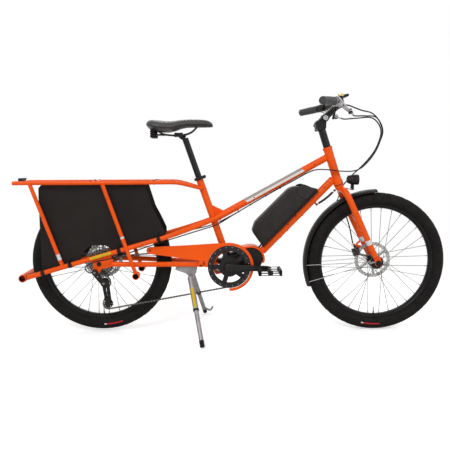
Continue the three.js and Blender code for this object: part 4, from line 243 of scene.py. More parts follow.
def plate(outline, ys, finish, holes=(), edge=0.8):
    """An outline in the XZ plane, drawn out between two y with rounded edges and holes."""
    y0, y1 = ys
    made = bpy.data.curves.new("outline", "CURVE")
    made.dimensions, made.fill_mode = "2D", "BOTH"
    edge = min(edge, (y1 - y0) / 2.2)
    made.extrude = (y1 - y0) / 2 - edge
    made.bevel_depth, made.bevel_resolution, made.offset = edge, 1, -edge
    for loop in (outline, *holes):
        line = made.splines.new("POLY")
        line.points.add(len(loop) - 1)
        line.points.foreach_set("co", [c for x, z in loop for c in (x, z, 0, 1)])
        line.use_cyclic_u = True
    holder = bpy.data.objects.new("outline", made)
    mesh = bpy.data.meshes.new_from_object(holder)
    points = [P(v.co.x, (y0 + y1) / 2 - v.co.z, v.co.y) for v in mesh.vertices]
    add(points, [list(f.vertices) for f in mesh.polygons], finish)
    bpy.data.objects.remove(holder)
    bpy.data.curves.remove(made)
    bpy.data.meshes.remove(mesh)


def block(centre, size, finish, edge, axes=(X, Y, Z), segments=2):
    """A box with rounded edges along its own axes."""
    bm = bmesh.new()
    bmesh.ops.create_cube(bm, size=1)
    bmesh.ops.scale(bm, vec=size, verts=bm.verts)
    edge = min(edge, min(size) / 2.1)
    bmesh.ops.bevel(
        bm, geom=bm.edges[:], offset=edge, segments=segments, profile=0.5, affect="EDGES"
    )
    points = [centre + np.array(v.co) @ np.array(axes) for v in bm.verts]
    bm.verts.index_update()
    add(points, [[v.index for v in f.verts] for f in bm.faces], finish)
    bm.free()


def beam(a, b, high, wide, finish, edge):
    """A bar from a to b, wide along Y and high across it."""
    way = unit(b - a)
    aside = unit(Y - way * way[1])
    block((a + b) / 2, (norm(b - a), wide, high), finish, edge, (way, aside, cross(way, aside)))


def bolt(base, way, radius, high, finish):
    """A socket-head bolt standing on base."""
    prof = [(0.45, 0.35), (0.45, 1), (0.8, 1), (1, 0.75), (1, 0)]
    cap([(radius * r, high * h) for r, h in prof], base, finish, unit(way), 6)


def rivet(base, way, radius, high, finish):
    """A domed head standing on base."""
    prof = [(0.5, 0.95), (0.85, 0.7), (1, 0.3), (1, 0)]
    prof = [(AXIS, high), *((radius * r, high * h) for r, h in prof), (AXIS, 0)]
    turn(prof, base, finish, unit(way), 16)


def weld(centre, way, radius):
    """A rolled bead round a painted tube where it meets another."""
    u, w = across(way)
    turns = linspace(0, TURN, 40, endpoint=False)
    path = [centre + radius * (cos(t) * u + sin(t) * w) for t in turns]
    tube(path, [1.5 + 0.35 * sin(14 * t) for t in turns], "orange", 8, loop=True)


def stitches(path, half, wire, gap, edge, walk=0.0, lift=lambda way, at: at):
    """Short threads at even gaps along a path."""
    for p, q in zip(path, path[1:]):
        far = norm(q - p)
        while walk < far:
            way = unit(q - p)
            at = lift(way, mix(p, q, walk / far))
            tube([at - way * half, at + way * half], wire, "thread", 5, edge)
            walk += gap
        walk -= far


def make(name, body, slot, *nodes, angle=32):
    """Turns the gathered skins into one dressed piece."""
    points, faces, names = [], [], []
    for rows, loops, used in skins:
        faces += [[i + len(points) for i in f] for f in loops]
        points += ((rows + (SHIFT, 0, 0)) / 1000).tolist()
        names += used
    skins.clear()
    mesh = bpy.data.meshes.new(name)
    mesh.from_pydata(points, [], faces)
    used = list(dict.fromkeys(names))
    for one in used:
        mesh.materials.append(finish(one))
    mesh.polygons.foreach_set("material_index", [used.index(n) for n in names])
    bm = bmesh.new()
    bm.from_mesh(mesh)
    bmesh.ops.recalc_face_normals(bm, faces=bm.faces)
    bm.to_mesh(mesh)
    bm.free()
    mesh.shade_smooth()
    mesh.set_sharp_from_angle(angle=angle * DEG)
    piece = bpy.data.objects.new(name, mesh)
    bpy.context.scene.collection.objects.link(piece)
    if body:
        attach(piece, body)
    if nodes:
        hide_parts(*nodes)
    return piece


def skin(name):
    """A painted piece of the frame, in place of the solid of that name."""
    make(name + "_skin", "frame", "frame_orange", name)


def build(name, body, slot):
    return make(name + "_build", body, slot, name)


# Finishes: colour, roughness, metallic, spread of tone, grain size, relief, depth, coat, specular
FINISHES = {
    "orange": ((0.86, 0.094, 0.003), 0.3, 0, 0.07, 9, "peel", 0.05, 0.04, 0.14),
    "black_plastic": ((0.011, 0.0095, 0.009), 0.42, 0, 0.3, 40, "fine", 0.16, 0, 0.2),
    "black_gloss": ((0.007, 0.006, 0.006), 0.24, 0, 0.3, 25, "peel", 0.03, 0.1, 0.3),
    "black_metal": ((0.012, 0.0105, 0.01), 0.34, 0.1, 0.3, 30, "fine", 0.08, 0, 0.22),
    "dark_metal": ((0.03, 0.029, 0.029), 0.36, 0.7, 0.3, 40, "brushed", 0.1, 0, 0.3),
    "silver": ((0.5, 0.5, 0.51), 0.27, 0.95, 0.15, 50, "brushed", 0.08, 0, 0.5),
    "steel": ((0.34, 0.33, 0.32), 0.3, 0.95, 0.25, 60, "brushed", 0.1, 0, 0.5),
    "spoke": ((0.15, 0.145, 0.14), 0.32, 0.8, 0.2, 50, "fine", 0.03, 0, 0.4),
    "cog": ((0.2, 0.19, 0.175), 0.34, 0.95, 0.35, 80, "brushed", 0.12, 0, 0.5),
    "chain": ((0.085, 0.076, 0.064), 0.36, 0.85, 0.35, 90, "fine", 0.1, 0, 0.4),
    "cast": ((0.3, 0.29, 0.29), 0.42, 0.6, 0.2, 35, "cast", 0.25, 0, 0.4),
    "tyre": ((0.0095, 0.008, 0.0075), 0.75, 0, 0.3, 30, "rubber", 0.3, 0, 0.14),
    "rubber": ((0.012, 0.0105, 0.01), 0.68, 0, 0.3, 60, "rubber", 0.25, 0, 0.16),
    "grip": ((0.03, 0.028, 0.027), 0.42, 0, 0.3, 90, "rubber", 0.2, 0, 0.5),
    "rim": ((0.008, 0.007, 0.0068), 0.36, 0.1, 0.3, 20, "fine", 0.06, 0, 0.18),
    "battery": ((0.017, 0.0135, 0.0125), 0.5, 0, 0.25, 18, "cast", 0.14, 0, 0.22),
    "battery_lid": ((0.022, 0.0185, 0.0175), 0.42, 0, 0.25, 25, "cast", 0.1, 0, 0.25),
    "skirt": ((0.0105, 0.008, 0.007), 0.5, 0, 0.3, 7, "weave", 0.14, 0, 0.16),
    "webbing": ((0.009, 0.008, 0.008), 0.7, 0, 0.3, 60, "weave", 0.3, 0, 0.15),
    "thread": ((0.05, 0.046, 0.043), 0.7, 0, 0.2, 300, "fine", 0.2, 0, 0.2),
    "saddle": ((0.028, 0.026, 0.025), 0.4, 0, 0.25, 18, "leather", 0.25, 0, 0.5),
    "panel_pale": ((0.72, 0.71, 0.7), 0.4, 0, 0.05, 30, "peel", 0.03, 0, 0.25),
    "panel_taupe": ((0.36, 0.29, 0.26), 0.4, 0, 0.08, 30, "peel", 0.03, 0, 0.25),
    "reflective": ((0.66, 0.67, 0.69), 0.35, 0.1, 0.08, 200, "fine", 0.12, 0, 0.3),
    "yellow": ((0.66, 0.42, 0.012), 0.45, 0, 0.12, 40, "fine", 0.04, 0, 0.2),
    "amber": ((0.6, 0.17, 0.01), 0.25, 0, 0.15, 150, "lens", 0.3, 0.1, 0.4),
    "red_mark": ((0.5, 0.015, 0.02), 0.5, 0, 0.12, 60, "fine", 0.06, 0, 0.2),
    "white_mark": ((0.6, 0.58, 0.56), 0.5, 0, 0.08, 60, "fine", 0.06, 0, 0.2),
    "brass": ((0.55, 0.37, 0.19), 0.25, 0.9, 0.15, 60, "brushed", 0.05, 0, 0.5),
    "screen": ((0.02, 0.023, 0.023), 0.12, 0, 0.1, 30, "peel", 0.01, 0.4, 0.5),
    "lens": ((0.65, 0.68, 0.7), 0.12, 0, 0.06, 80, "peel", 0.05, 0.4, 0.5),
    "red_lens": ((0.3, 0.01, 0.008), 0.18, 0, 0.15, 150, "lens", 0.3, 0.3, 0.5),
    "cable": ((0.01, 0.009, 0.009), 0.42, 0, 0.25, 60, "fine", 0.08, 0, 0.18),
    "rotor": ((0.4, 0.385, 0.37), 0.32, 0.95, 0.2, 70, "brushed", 0.12, 0, 0.5),
    # hollow: near-black and dull, it is painted shade, put inside open tube ends and sockets,
    # between the cogs and round the battery's hand recess
    "hollow": ((0.004, 0.004, 0.004), 0.85, 0, 0.3, 60, "fine", 0.2, 0, 0.05),
}
# Reliefs made of noise: its scale and detail
GRAIN = {"peel": (700, 2), "fine": (1400, 3), "cast": (900, 6), "rubber": (600, 8)}


def node(tree, kind, sockets=None, **settings):
    """A shader node; sockets maps each input to its value or to the output that feeds it."""
    made = tree.nodes.new("ShaderNode" + kind)
    for key, value in settings.items():
        setattr(made, key, value)
    connect(tree, made, sockets or {})
    return made.outputs


def connect(tree, made, sockets):
    """Fills the inputs of a node with values and links."""
    for key, value in sockets.items():
        if isinstance(value, bpy.types.NodeSocket):
            tree.links.new(value, made.inputs[key])
        else:
            made.inputs[key].default_value = value


BUMP_HEIGHT = 0.0006  # metres


@cache
def finish(name):
    """The procedural material of that finish."""
    colour, rough, metal, spread, size, kind, depth, coat, gloss = FINISHES[name]
    mat = bpy.data.materials.new(name)
    mat.use_nodes = True
    tree = mat.node_tree
    place = node(tree, "TexCoord")["Object"]

    def noise(scale, detail=4, where=place):
        sockets = {"Vector": where, "Scale": scale, "Detail": detail}
        return node(tree, "TexNoise", sockets)["Fac"]

    def spanned(value, low, high):
        limits = {"From Min": 0.3, "From Max": 0.7, "To Min": low, "To Max": high}
        return node(tree, "MapRange", {"Value": value, **limits})["Result"]

    low, high = ([min(1, c * (1 + k * spread)) for c in colour] + [1] for k in (-1, 1))
    tone = {"Factor": spanned(noise(size), 0, 1), 6: low, 7: high}
    if kind in GRAIN:
        relief = noise(*GRAIN[kind])
    elif kind == "brushed":
        long = node(tree, "Mapping", {"Vector": place, "Scale": (300, 300, 2600)})["Vector"]
        relief = noise(1, 3, long)
    elif kind == "weave":
        sockets = {"Vector": place, "Scale": 420, "Distortion": 0.4}
        waves = [node(tree, "TexWave", sockets, bands_direction=k)["Fac"] for k in "XZ"]
        relief = node(tree, "Math", dict(enumerate(waves)), operation="MULTIPLY")[0]
    else:
        cells = {"Vector": place, "Scale": 620 if kind == "leather" else 260}
        relief = node(tree, "TexVoronoi", cells)["Distance"]
    bump = {"Strength": min(1, depth * 2), "Distance": BUMP_HEIGHT, "Height": relief}
    wear = spanned(noise(size * 2.7, 8), rough * 0.85, min(1, rough * 1.2))
    connect(tree, tree.nodes["Principled BSDF"], {
        "Base Color": node(tree, "Mix", tone, data_type="RGBA")[2],
        "Roughness": wear,
        "Metallic": metal,
        "Coat Weight": coat,
        "Coat Roughness": 0.12,
        "Specular IOR Level": gloss,
        "Sheen Weight": 0.03 if kind in ("leather", "weave") else 0,
        "Normal": node(tree, "Bump", bump)["Normal"],
    })
    return mat


# Camera at the photograph's angle, floor, world and soft lamps
def stand_at(name, data, place, side, top, back):
    """A lamp or camera at that place, turned to those axes."""
    one = bpy.data.objects.new(name, data)
    one.matrix_world = Matrix([[*row] for row in zip(side, top, back, place)] + [[0, 0, 0, 1]])
    bpy.context.scene.collection.objects.link(one)
    return one


def camera():
    data = bpy.data.cameras.new("camera")
    data.lens, data.sensor_width, data.clip_end = 43.26, 36.0, 100
    pitch, yaw, roll = 0.1170, 0.0144, -0.0048
    ahead = P(sin(yaw) * cos(pitch), cos(yaw) * cos(pitch), -sin(pitch))
    right = P(cos(yaw), -sin(yaw), 0)
    up = cross(right, ahead)
    side, top = cos(roll) * right + sin(roll) * up, cos(roll) * up - sin(roll) * right
    bpy.context.scene.camera = stand_at(
        "camera", data, (-0.0764, -2.3957, 0.7600), side, top, -ahead
    )


def lamp(name, place, size, power):
    """A round lamp that looks at the bicycle's middle."""
    data = bpy.data.lights.new(name, "AREA")
    data.shape, data.size, data.energy = "DISK", size, power
    back = unit(P(*place) - P(0, 0, 0.5))
    side = unit(cross(Z, back))
    stand_at(name, data, place, side, cross(back, side), back)


FLOOR = 60  # half the floor's length, in metres


def studio():
    """A white world, dimmer as a lamp than as a sight, and a floor that fades into it."""
    white = (1, 1, 1, 1)
    world = bpy.data.worlds.new("studio")
    bpy.context.scene.world = world
    world.use_nodes = True
    tree = world.node_tree
    tree.nodes.clear()
    ray = node(tree, "LightPath")
    seen = ray["Is Camera Ray"]
    for other in ("Is Glossy Ray", "Is Transmission Ray"):
        seen = node(tree, "Math", {0: seen, 1: ray[other]}, operation="MAXIMUM")[0]
    light, sight = (
        node(tree, "Background", {"Color": white, "Strength": k})[0] for k in (0.5, 1.0)
    )
    both = node(tree, "MixShader", {0: seen, 1: light, 2: sight})[0]
    node(tree, "OutputWorld", {"Surface": both})

    mesh = bpy.data.meshes.new("floor")
    corners = [(x * FLOOR, y * FLOOR, 0) for x, y in ((-1, -1), (1, -1), (1, 1), (-1, 1))]
    mesh.from_pydata(corners, [], [range(4)])
    floor = bpy.data.objects.new("floor", mesh)
    bpy.context.scene.collection.objects.link(floor)
    mat = bpy.data.materials.new("floor")
    mat.use_nodes = True
    tree = mat.node_tree
    seen = node(tree, "LightPath")["Is Camera Ray"]
    glow = node(tree, "Math", {0: seen, 1: 0.42}, operation="MULTIPLY")[0]
    shader = tree.nodes["Principled BSDF"]
    connect(tree, shader, {
        "Base Color": (0.9, 0.9, 0.9, 1),
        "Roughness": 0.9,
        "Emission Color": white,
        "Emission Strength": glow,
    })
    place = node(tree, "TexCoord")["Object"]
    far = node(tree, "VectorMath", {0: place}, operation="LENGTH")["Value"]
    reach = {"Value": far, "From Min": 1.3, "From Max": 1.9}
    fade = node(tree, "MapRange", reach, interpolation_type="SMOOTHSTEP")["Result"]
    clear = node(tree, "BsdfTransparent")[0]
    soft = node(tree, "MixShader", {0: fade, 1: shader.outputs[0], 2: clear})[0]
    connect(tree, tree.nodes["Material Output"], {"Surface": soft})
    mesh.materials.append(mat)
    lamp("key", (-1.6, -3.2, 3.6), 2.2, 88)
    lamp("fill", (2.8, -2.6, 2.2), 2.4, 34)
    lamp("back", (0.4, 3.0, 3.2), 2.6, 40)
    bpy.context.scene.view_settings.view_transform = "Standard"


camera()
studio()


# The bicycle's own lines, in millimetres, as the CAD has them
def measured(origin, way, up):
    """A function that gives the point so far along way, up and Y from origin."""
    return lambda far, high=0, y=0: origin + way * far + up * high + Y * y


TILT, SEAT_TILT = 18.1 * DEG, 19 * DEG
HEAD_DOWN, HEAD_AHEAD = P(sin(TILT), 0, -cos(TILT)), P(cos(TILT), 0, sin(TILT))
SEAT_DOWN, SEAT_AHEAD = P(sin(SEAT_TILT), 0, -cos(SEAT_TILT)), P(cos(SEAT_TILT), 0, sin(SEAT_TILT))
on_head = measured(P(388, 0, 820), HEAD_DOWN, HEAD_AHEAD)
on_seat = measured(P(-178, 0, 693), SEAT_DOWN, SEAT_AHEAD)
FRONT, REAR, BB = P(612, 0, 310), P(-612, 0, 320), P(-46, 0, 300)
DOWN_FRONT, DOWN_END = on_head(134), P(105, 0, 362)
DOWN_WAY = unit(DOWN_END - DOWN_FRONT)
DOWN_UP = P(DOWN_WAY[2], 0, -DOWN_WAY[0])
on_down = measured(DOWN_FRONT, DOWN_WAY, DOWN_UP)
TOP_FRONT, TOP_END = on_head(39), on_seat(200)
TOP_WAY = unit(TOP_END - TOP_FRONT)
TOP_UP = P(TOP_WAY[2], 0, -TOP_WAY[0])
on_top = measured(TOP_FRONT, TOP_WAY, TOP_UP)
KNEE, RAIL_END = P(-324, 0, 435), P(-932, 0, 261)
RAIL_WAY = unit(RAIL_END - KNEE)
RAIL_UP = cross(RAIL_WAY, -Y)
STAY_START, STAY_END = P(-95, 0, 306), P(-560, 0, 320)
RAIL_Y, RACK_Y, RACK_Z = 80, 89, 672


def on_rail(x, side=1):
    share = (x - KNEE[0]) / (RAIL_END[0] - KNEE[0])
    return P(x, side * RAIL_Y, KNEE[2] + (RAIL_END[2] - KNEE[2]) * share)


def wheel_pin(centre, half, reach):
    """An axle with a domed nut outside each dropout."""
    rod(centre - Y * reach, centre + Y * reach, 4.8, "steel", sides=20)
    for side in SIDES:
        prof = [(AXIS, 0), (10, 0), (10, 2), (7.6, 2.6), (7.4, 6), (5.4, 8.6), (2.4, 9.6)]
        turn([*prof, (AXIS, 9.8)], centre + Y * side * half, METAL, Y * side, 24)


# Wheels and tyres
BLOCK, STEPS = 8, 336  # steps in one block of the tread, and round the whole tyre
SPOKES, VENTS = 32, 30


def tyre(name, centre, mark):
    """A tyre with cut tread; mark holds both angles of the coloured dash on its near wall."""
    core, thick = 281, 29
    low = asin((core - 256.3) / thick)
    tread = [(22, 0), (20, 0), (12.2, 0), (11.8, 1.3), (9.8, 1.3), (9.4, 0), (1.3, 0), (0.9, 0.9)]
    tread += [(-y, d) for y, d in tread[::-1]]
    wall = [(core + thick * sin(t), thick * cos(t)) for t in mix(-low, 0.72, np.arange(9) / 9)]
    wall[2] = (wall[2][0], wall[2][1] - 0.7)
    wall[4] = (wall[4][0], wall[4][1] - 0.5)
    prof = wall + [(core + sqrt(thick**2 - y * y), y) for y, _ in tread]
    prof += [(r, -y) for r, y in wall[::-1]] + [(254.4, -15), (254.4, 15)]
    depth = np.array([0] * 9 + [d for _, d in tread] + [0] * 11)
    ys = np.abs([p[1] for p in prof])

    def dent(k):
        slot = (k % BLOCK in (0, 1)) & (ys > 12) & (ys < 21) & (depth == 0)
        sipe = (k % BLOCK in (4, 5)) & (ys > 1.2) & (ys < 9.5) & (depth == 0)
        return depth + 1.3 * slot + 0.8 * sipe

    def paint(i, j):
        a = i * 360 / STEPS % 360
        if mark[0] < a < mark[1] and j == len(prof) - 9:
            return "white_mark" if a < mark[0] + 2.2 else "red_mark"
        return "tyre"

    turn(prof, centre, paint, steps=STEPS, closed=True, dent=dent)
    make(name + "_cover", name.replace("tyre", "wheel"), "tyre", name, angle=40)


tyre("front_tyre", FRONT, (257, 274))
tyre("rear_tyre", REAR, (270, 288))


def wheel(name, centre, half, flange, near, far, shell, nut, rotor):
    """Rim, hub, crossed spokes, brake rotor and valve; far is the rotor's side of the hub."""
    rim = [(241, -6), (241, 6), (243, 10), (247.5, 15.5), (249.5, 17), (255.6, 17)]
    rim += [(255.8, 14.5), (251, 13), (250, 0)]
    rim += [(r, -y) for r, y in rim[7:1:-1]]
    sleeve(rim, centre, "rim", steps=120)
    hub = [(4.95, -half), (nut - 1, -half), (nut, -half + 1), (nut, -near - 4)]
    hub += [(flange - 5, -near - 3), (flange - 4, -near - 2), (flange, -near - 2)]
    hub += [(flange, -near + 2), (shell + 4, -near + 2.4), (shell - 1, -near + 9)]
    hub += [(shell - 1, far - 9), (shell + 4, far - 2.4), (flange, far - 2), (flange, far + 2)]
    hub += [(shell, far + 3), (shell, rotor - 1.2), (17, rotor + 1), (12, rotor + 1.2)]
    sleeve([*hub, (11.5, half - 0.6), (10.5, half), (4.95, half)], centre, METAL)
    for i in range(SPOKES):
        t = TURN * (i + 0.5) / SPOKES
        side = -1 if i % 2 == 0 else 1
        lead = 1.02 if i % 4 < 2 else -1.02
        a = centre + polar(flange - 2.5, t + lead, far if side > 0 else -near)
        b = centre + polar(242.5, t, 3 * side)
        rod(a, b, 1.15, "spoke", sides=6, edge=0)
        rod(b, mix(b, a, 15 / norm(a - b)), 2.1, "spoke", 1.6, 8, 0.3)
        pin(a, 2.6, 1.9, "spoke", 0.4, 8)
    windows, mid = [], centre[::2]
    for k in range(6):
        t = (k * 60 + 36) * DEG
        windows.append(arc(*mid, 27, t, t + 0.72, 6) + arc(*mid, 66, t + 0.97, t + 0.1, 9))
    for k in range(VENTS):
        for r, off in ((78, 0), (73.6, 4), (69.4, 8)):
            hole = centre + polar(r, (k * 12 + off) * DEG)
            windows.append(circle(*hole[::2], 1.5, 8))
    turns = [TURN * k / 144 for k in range(144)]
    edge = [centre + polar(82 - (1 + cos(12 * t)) / 2, t) for t in turns]
    plate(flat(edge), (rotor - 0.9, rotor + 0.9), "rotor", windows, 0.2)
    for k in range(6):
        at = centre + polar(21.5, (k * 60 + 8) * DEG, rotor + 0.8)
        bolt(at, Y, 2.7, 2.2, "dark_metal")
    foot = centre - Z * 241.5
    rod(foot, foot + Z * 12, 3.2, PLASTIC, sides=12)
    rod(foot + Z * 12, foot + Z * 32, 2.6, "silver", 2.2, 12)
    build(name, name, "rim_black")


wheel("front_wheel", FRONT, 50, 29, 34, 25, 19, 12, 39)
wheel("rear_wheel", REAR, 67.5, 31, 20, 30, 21, 17, 45)

# Head tube
prof = [(15.2, 0), (20.5, 0), (21.5, 1), (21.5, 10), (19.3, 13), (18.8, 60), (18.8, 120)]
prof += [(19.3, 150), (21.5, 154), (21.5, 174.6), (20.5, 175.7), (15.2, 175.7)]
sleeve(prof, on_head(0), "orange", HEAD_DOWN, 56)
ring = [(21.7, 0.3), (21.9, 0.8), (21.9, 2.4), (21.4, 2.9)]
turn(ring, on_head(170.6), METAL, HEAD_DOWN, 40)
weld(mix(TOP_FRONT, TOP_END, 0.036), TOP_WAY, 15.4)
weld(mix(DOWN_FRONT, DOWN_END, 0.052), DOWN_WAY, 16.8)
skin("head_tube")

# Top tube with its two-coloured panel, whose ends are cut aslant
count, radius, first, last = 40, 15.5, 132, 418
long = norm(TOP_END - TOP_FRONT)
stops = [17, 60, first - 8, first, first + 8, 200, 300, last - 8, last, last + 8, 480, long - 8]
rings = [
    [
        on_top(d + (8 * cos(t) if d in (first, last) else 0), radius * cos(t), radius * sin(t))
        for t in linspace(0, TURN, count, endpoint=False)
    ]
    for d in stops
]
names = []
for stop in stops[:-1]:
    for j in range(count):
        high = cos(TURN * (j + 0.5) / count)
        panel = "panel_taupe" if high > 0.28 else "panel_pale" if high > -0.38 else "orange"
        names.append(panel if first <= stop < last else "orange")
add(rings, grid(len(rings), count), names + ["orange"] * 2)
for d in (78, 380, 540):
    rivet(on_top(d, 0, -15.2), -Y, 2.6, 1.6, METAL)
for d in (470, 560):
    beam(on_top(d - 6, -15.3), on_top(d + 6, -15.3), 3.4, 9, "orange", 1)
skin("top_tube")

# Down tube with the battery's rail
long = norm(DOWN_END - DOWN_FRONT)
tube([on_down(18), on_down(long * 0.5), on_down(long + 4)], 17, "orange", 40)
base = [(105, 12), (448, 12), (448, 25.2), (440, 25.5), (113, 25.5), (105, 25.2)]
plate(flat(on_down(*p) for p in base), (-24.8, 24.8), PLASTIC, edge=1.5)
for d in (70, 250, 300):
    rivet(on_down(d, 4, -16.4), -Y, 2.8, 1.8, METAL)
for d in (225, 320, 362):
    rivet(on_down(d, -16.6), -DOWN_UP, 3.2, 3, "orange")
rod(on_down(148, -14), on_down(148, -21.6), 5, "orange")
skin("down_tube")

# Seat tube with collar, clamp ears and gusset
prof = [(13.9, 14.3), (15.6, 14.3), (15.5, 40), (15.5, 349), (13.9, 349)]
sleeve(prof, on_seat(0), "orange", SEAT_DOWN)
prof = [(13.9, 1), (19, 0), (20, 1), (20, 12.6), (18.8, 13.8), (15.7, 14.3), (13.9, 14.3)]
sleeve(prof, on_seat(0), METAL, SEAT_DOWN)
prof = [(20.2, 1.4), (20.9, 2), (20.9, 11.4), (20.2, 12)]
turn(prof, on_seat(0), METAL, SEAT_DOWN, 48)
ear = on_seat(7, 24.5)
drum(ear - Y * 14, ear - Y * 3, 7, METAL, 1.2, 24)
drum(ear + Y * 3, ear + Y * 14, 7, METAL, 1.2, 24)
rod(ear - Y * 13.8, ear + Y * 13.8, 3, "steel")
bolt(ear + Y * 13.6, Y, 5, 0.4, "steel")
foot = mix(TOP_END, TOP_FRONT, 74 / norm(TOP_FRONT - TOP_END)) - Z * 6
plate(flat([on_seat(122), foot, TOP_END]), (-3, 3), "orange", edge=1.2)
weld(on_seat(196), SEAT_DOWN, 15.4)
weld(on_seat(59), SEAT_DOWN, 15.3)
skin("seat_tube")

for side, word in SIDES.items():
    # Side rail from the top tube back to the cross tube, with a yellow band
    start = mix(TOP_FRONT, TOP_END, 0.82)
    path = [P(start[0], side * 17, start[2])]
    for back, fall, spread in ((0.3, 0.38, 0.16), (0.59, 0.66, 0.52), (1, 1, 1)):
        x, _, z = start + (KNEE - start) * P(back, 0, fall)
        path.append(P(x, side * (17 + 63 * spread), z))
    path.append(P(KNEE[0] - 76, side * RAIL_Y, KNEE[2] - 21.75))
    tail = [on_rail(x, side) for x in (-430, -700, -921)]
    tube([*curve(path)[:-1], *tail], 10.5, "orange", 28, edge=2)
    weld(on_rail(-918, side), RAIL_WAY, 10.4)
    a, b = on_rail(-648, side), on_rail(-556, side)
    way, far = unit(b - a), norm(b - a)
    band = []
    for d, wide in ((0, 0.5), (1.5, 0.62), (far - 1.5, 0.62), (far, 0.5 if far > 94.8 else 0.62)):
        ts = linspace(0.3 - wide, 0.3 + wide, 9)
        edge = [(10.75, t) for t in ts] + [(9.9, t) for t in ts[::-1]]
        up = cross(way, Y)
        band.append([a + way * d + (Y * side * cos(t) + up * sin(t)) * r for r, t in edge])
    loft(band, "yellow")
    rivet(on_rail(-420, side) + Y * side * 10.2, Y * side, 2.6, 1.4, METAL)
    skin("side_rail_" + word)

CROSS = P(-940.5, 0, 261)
prof = [(13.5, -92), (16, -92), (17, -91), (17, 91), (16, 92), (13.5, 92), (13.3, 88), (13.3, -88)]
sleeve(prof, CROSS, "orange")
for side in SIDES:
    # Painted shade: a near-black lining inside each open end of the cross tube
    sleeve([(12.6, 74), (13.4, 74), (13.4, 91.6), (12.4, 91.6)], CROSS, "hollow", Y * side, 36)
skin("rear_cross_tube")

# Chainstays with dropouts; the derailleur hangs from the near one
hanger = [(-549, 331), (-549, 309), (-601, 298), (-618, 272), (-636, 272), (-642, 284)]
hanger += [(-638, 320), (-664, 351), (-560, 357.2)]
for side, word in SIDES.items():
    path = []
    for back, spread in ((0, 0), (0.14, 0.13), (0.44, 0.47), (0.74, 0.9), (1, 1)):
        path.append(mix(STAY_START, STAY_END, back) + Y * side * (30 + 46.5 * spread))
    tube(curve(path), 11, "orange", 28, edge=2)
    plate(hanger, span(side, 67.8, 74.8), "orange", [circle(*REAR[::2], 5.2, 24)], 1.2)
    weld(P(-556, side * 76.4, 320), unit(STAY_END - STAY_START), 10.8)
    if side < 0:
        wheel_pin(REAR, 74.8, 74.6)
    else:
        bolt(P(-585, 74.6, 330), Y, 3.4, 2.4, "dark_metal")
    skin("chainstay_" + word)

# Rack: rails, cross bars and struts
seat = on_seat(54)
for side, word in SIDES.items():
    y = side * RACK_Y
    bend, end = P(-262, side * 70, 669), P(seat[0] - 1, side * 14, seat[2])
    weld(mix(end, bend, 0.055), unit(end - bend), 8.4)
    straight = [P(x, y, RACK_Z) for x in (-964, -700)]
    bent = curve([P(-316.4, y, RACK_Z), P(-300, y, RACK_Z), bend, end])
    tube([*straight, *bent], 8.2, "orange", 24, 1)
    plug = [(AXIS, 0), (6.6, 0), (7.2, 0.2), (AXIS, 0.5)]
    turn(plug, P(-963.4, y, RACK_Z), PLASTIC, -X, 24)
    for x in (-633, -365):
        rivet(P(x, y, 680), Z, 4.2, 2.2, METAL)
    skin("rack_rail_" + word)

for x, name in ((-951, "rear"), (-633, "middle"), (-365, "front")):
    rod(P(x, -81.5, RACK_Z), P(x, 81.5, RACK_Z), 8, "orange")
    for side in SIDES:
        weld(P(x, side * 80.6, RACK_Z), Y, 8)
    if name == "rear":
        outline = [(-961, 674), (-951, 674), (-941, 691.5), (-960.5, 691.5)]
        plate(outline, (-31, 31), PLASTIC, edge=2)
        outline = [(-961, 677), (-957, 677), (-957, 689), (-961, 689)]
        plate(outline, (-27, 27), "red_lens", edge=1)
    else:
        bolt(P(x, 0, 679), Z, 4.2, 5, METAL)
        cap([(7, 0), (7, 1.4)], P(x, 0, 679), "dark_metal", Z, 20)
    skin("rack_cross_" + name)

for side, word in SIDES.items():
    y, out = side * RACK_Y, Y * side
    top, foot = P(-891, y, 667), on_rail(-767, side)
    way = unit(foot - top)
    rod(top, foot - way * 6, 8.5, "orange", sides=28)
    rod(foot - way * 60, foot - way * 34, 8.8, "reflective", sides=28, edge=0.3)
    weld(foot - way * 12, way, 8.4)
    rivet(top + way * 150 + P(-6, side * 6, 0), P(-0.7, side * 0.7, 0), 3.6, 4.5, METAL)
    skin("strut_rear_" + word)

    low = P(-449, 0, 271)
    top, foot = P(-584, side * 91, 666), low + out * 91
    way = unit(foot - top)
    rod(top, foot - way * 12, 8.5, "orange", sides=28)
    weld(foot - way * 15.5, way, 8.6)
    socket = [(12, 72), (14.4, 72), (15.5, 73), (15.5, 111), (14.4, 112), (12, 112)]
    sleeve(socket, low, "orange", out, 44)
    # Painted shade: a near-black lining inside the socket and a near-black disc deep in it
    sleeve([(11.2, 74), (12.1, 74), (12.1, 111.4), (11.2, 111.4)], low, "hollow", out, 36)
    cap([(11.9, 0), (11.9, 2)], low + out * 100, "hollow", out, 32)
    weld(mix(top, foot, 0.62), way, 8.7)
    at = mix(top, foot, 0.57)
    rod(at, at + way * 9, 8.75, "reflective", sides=28, edge=0.3)
    skin("strut_middle_" + word)


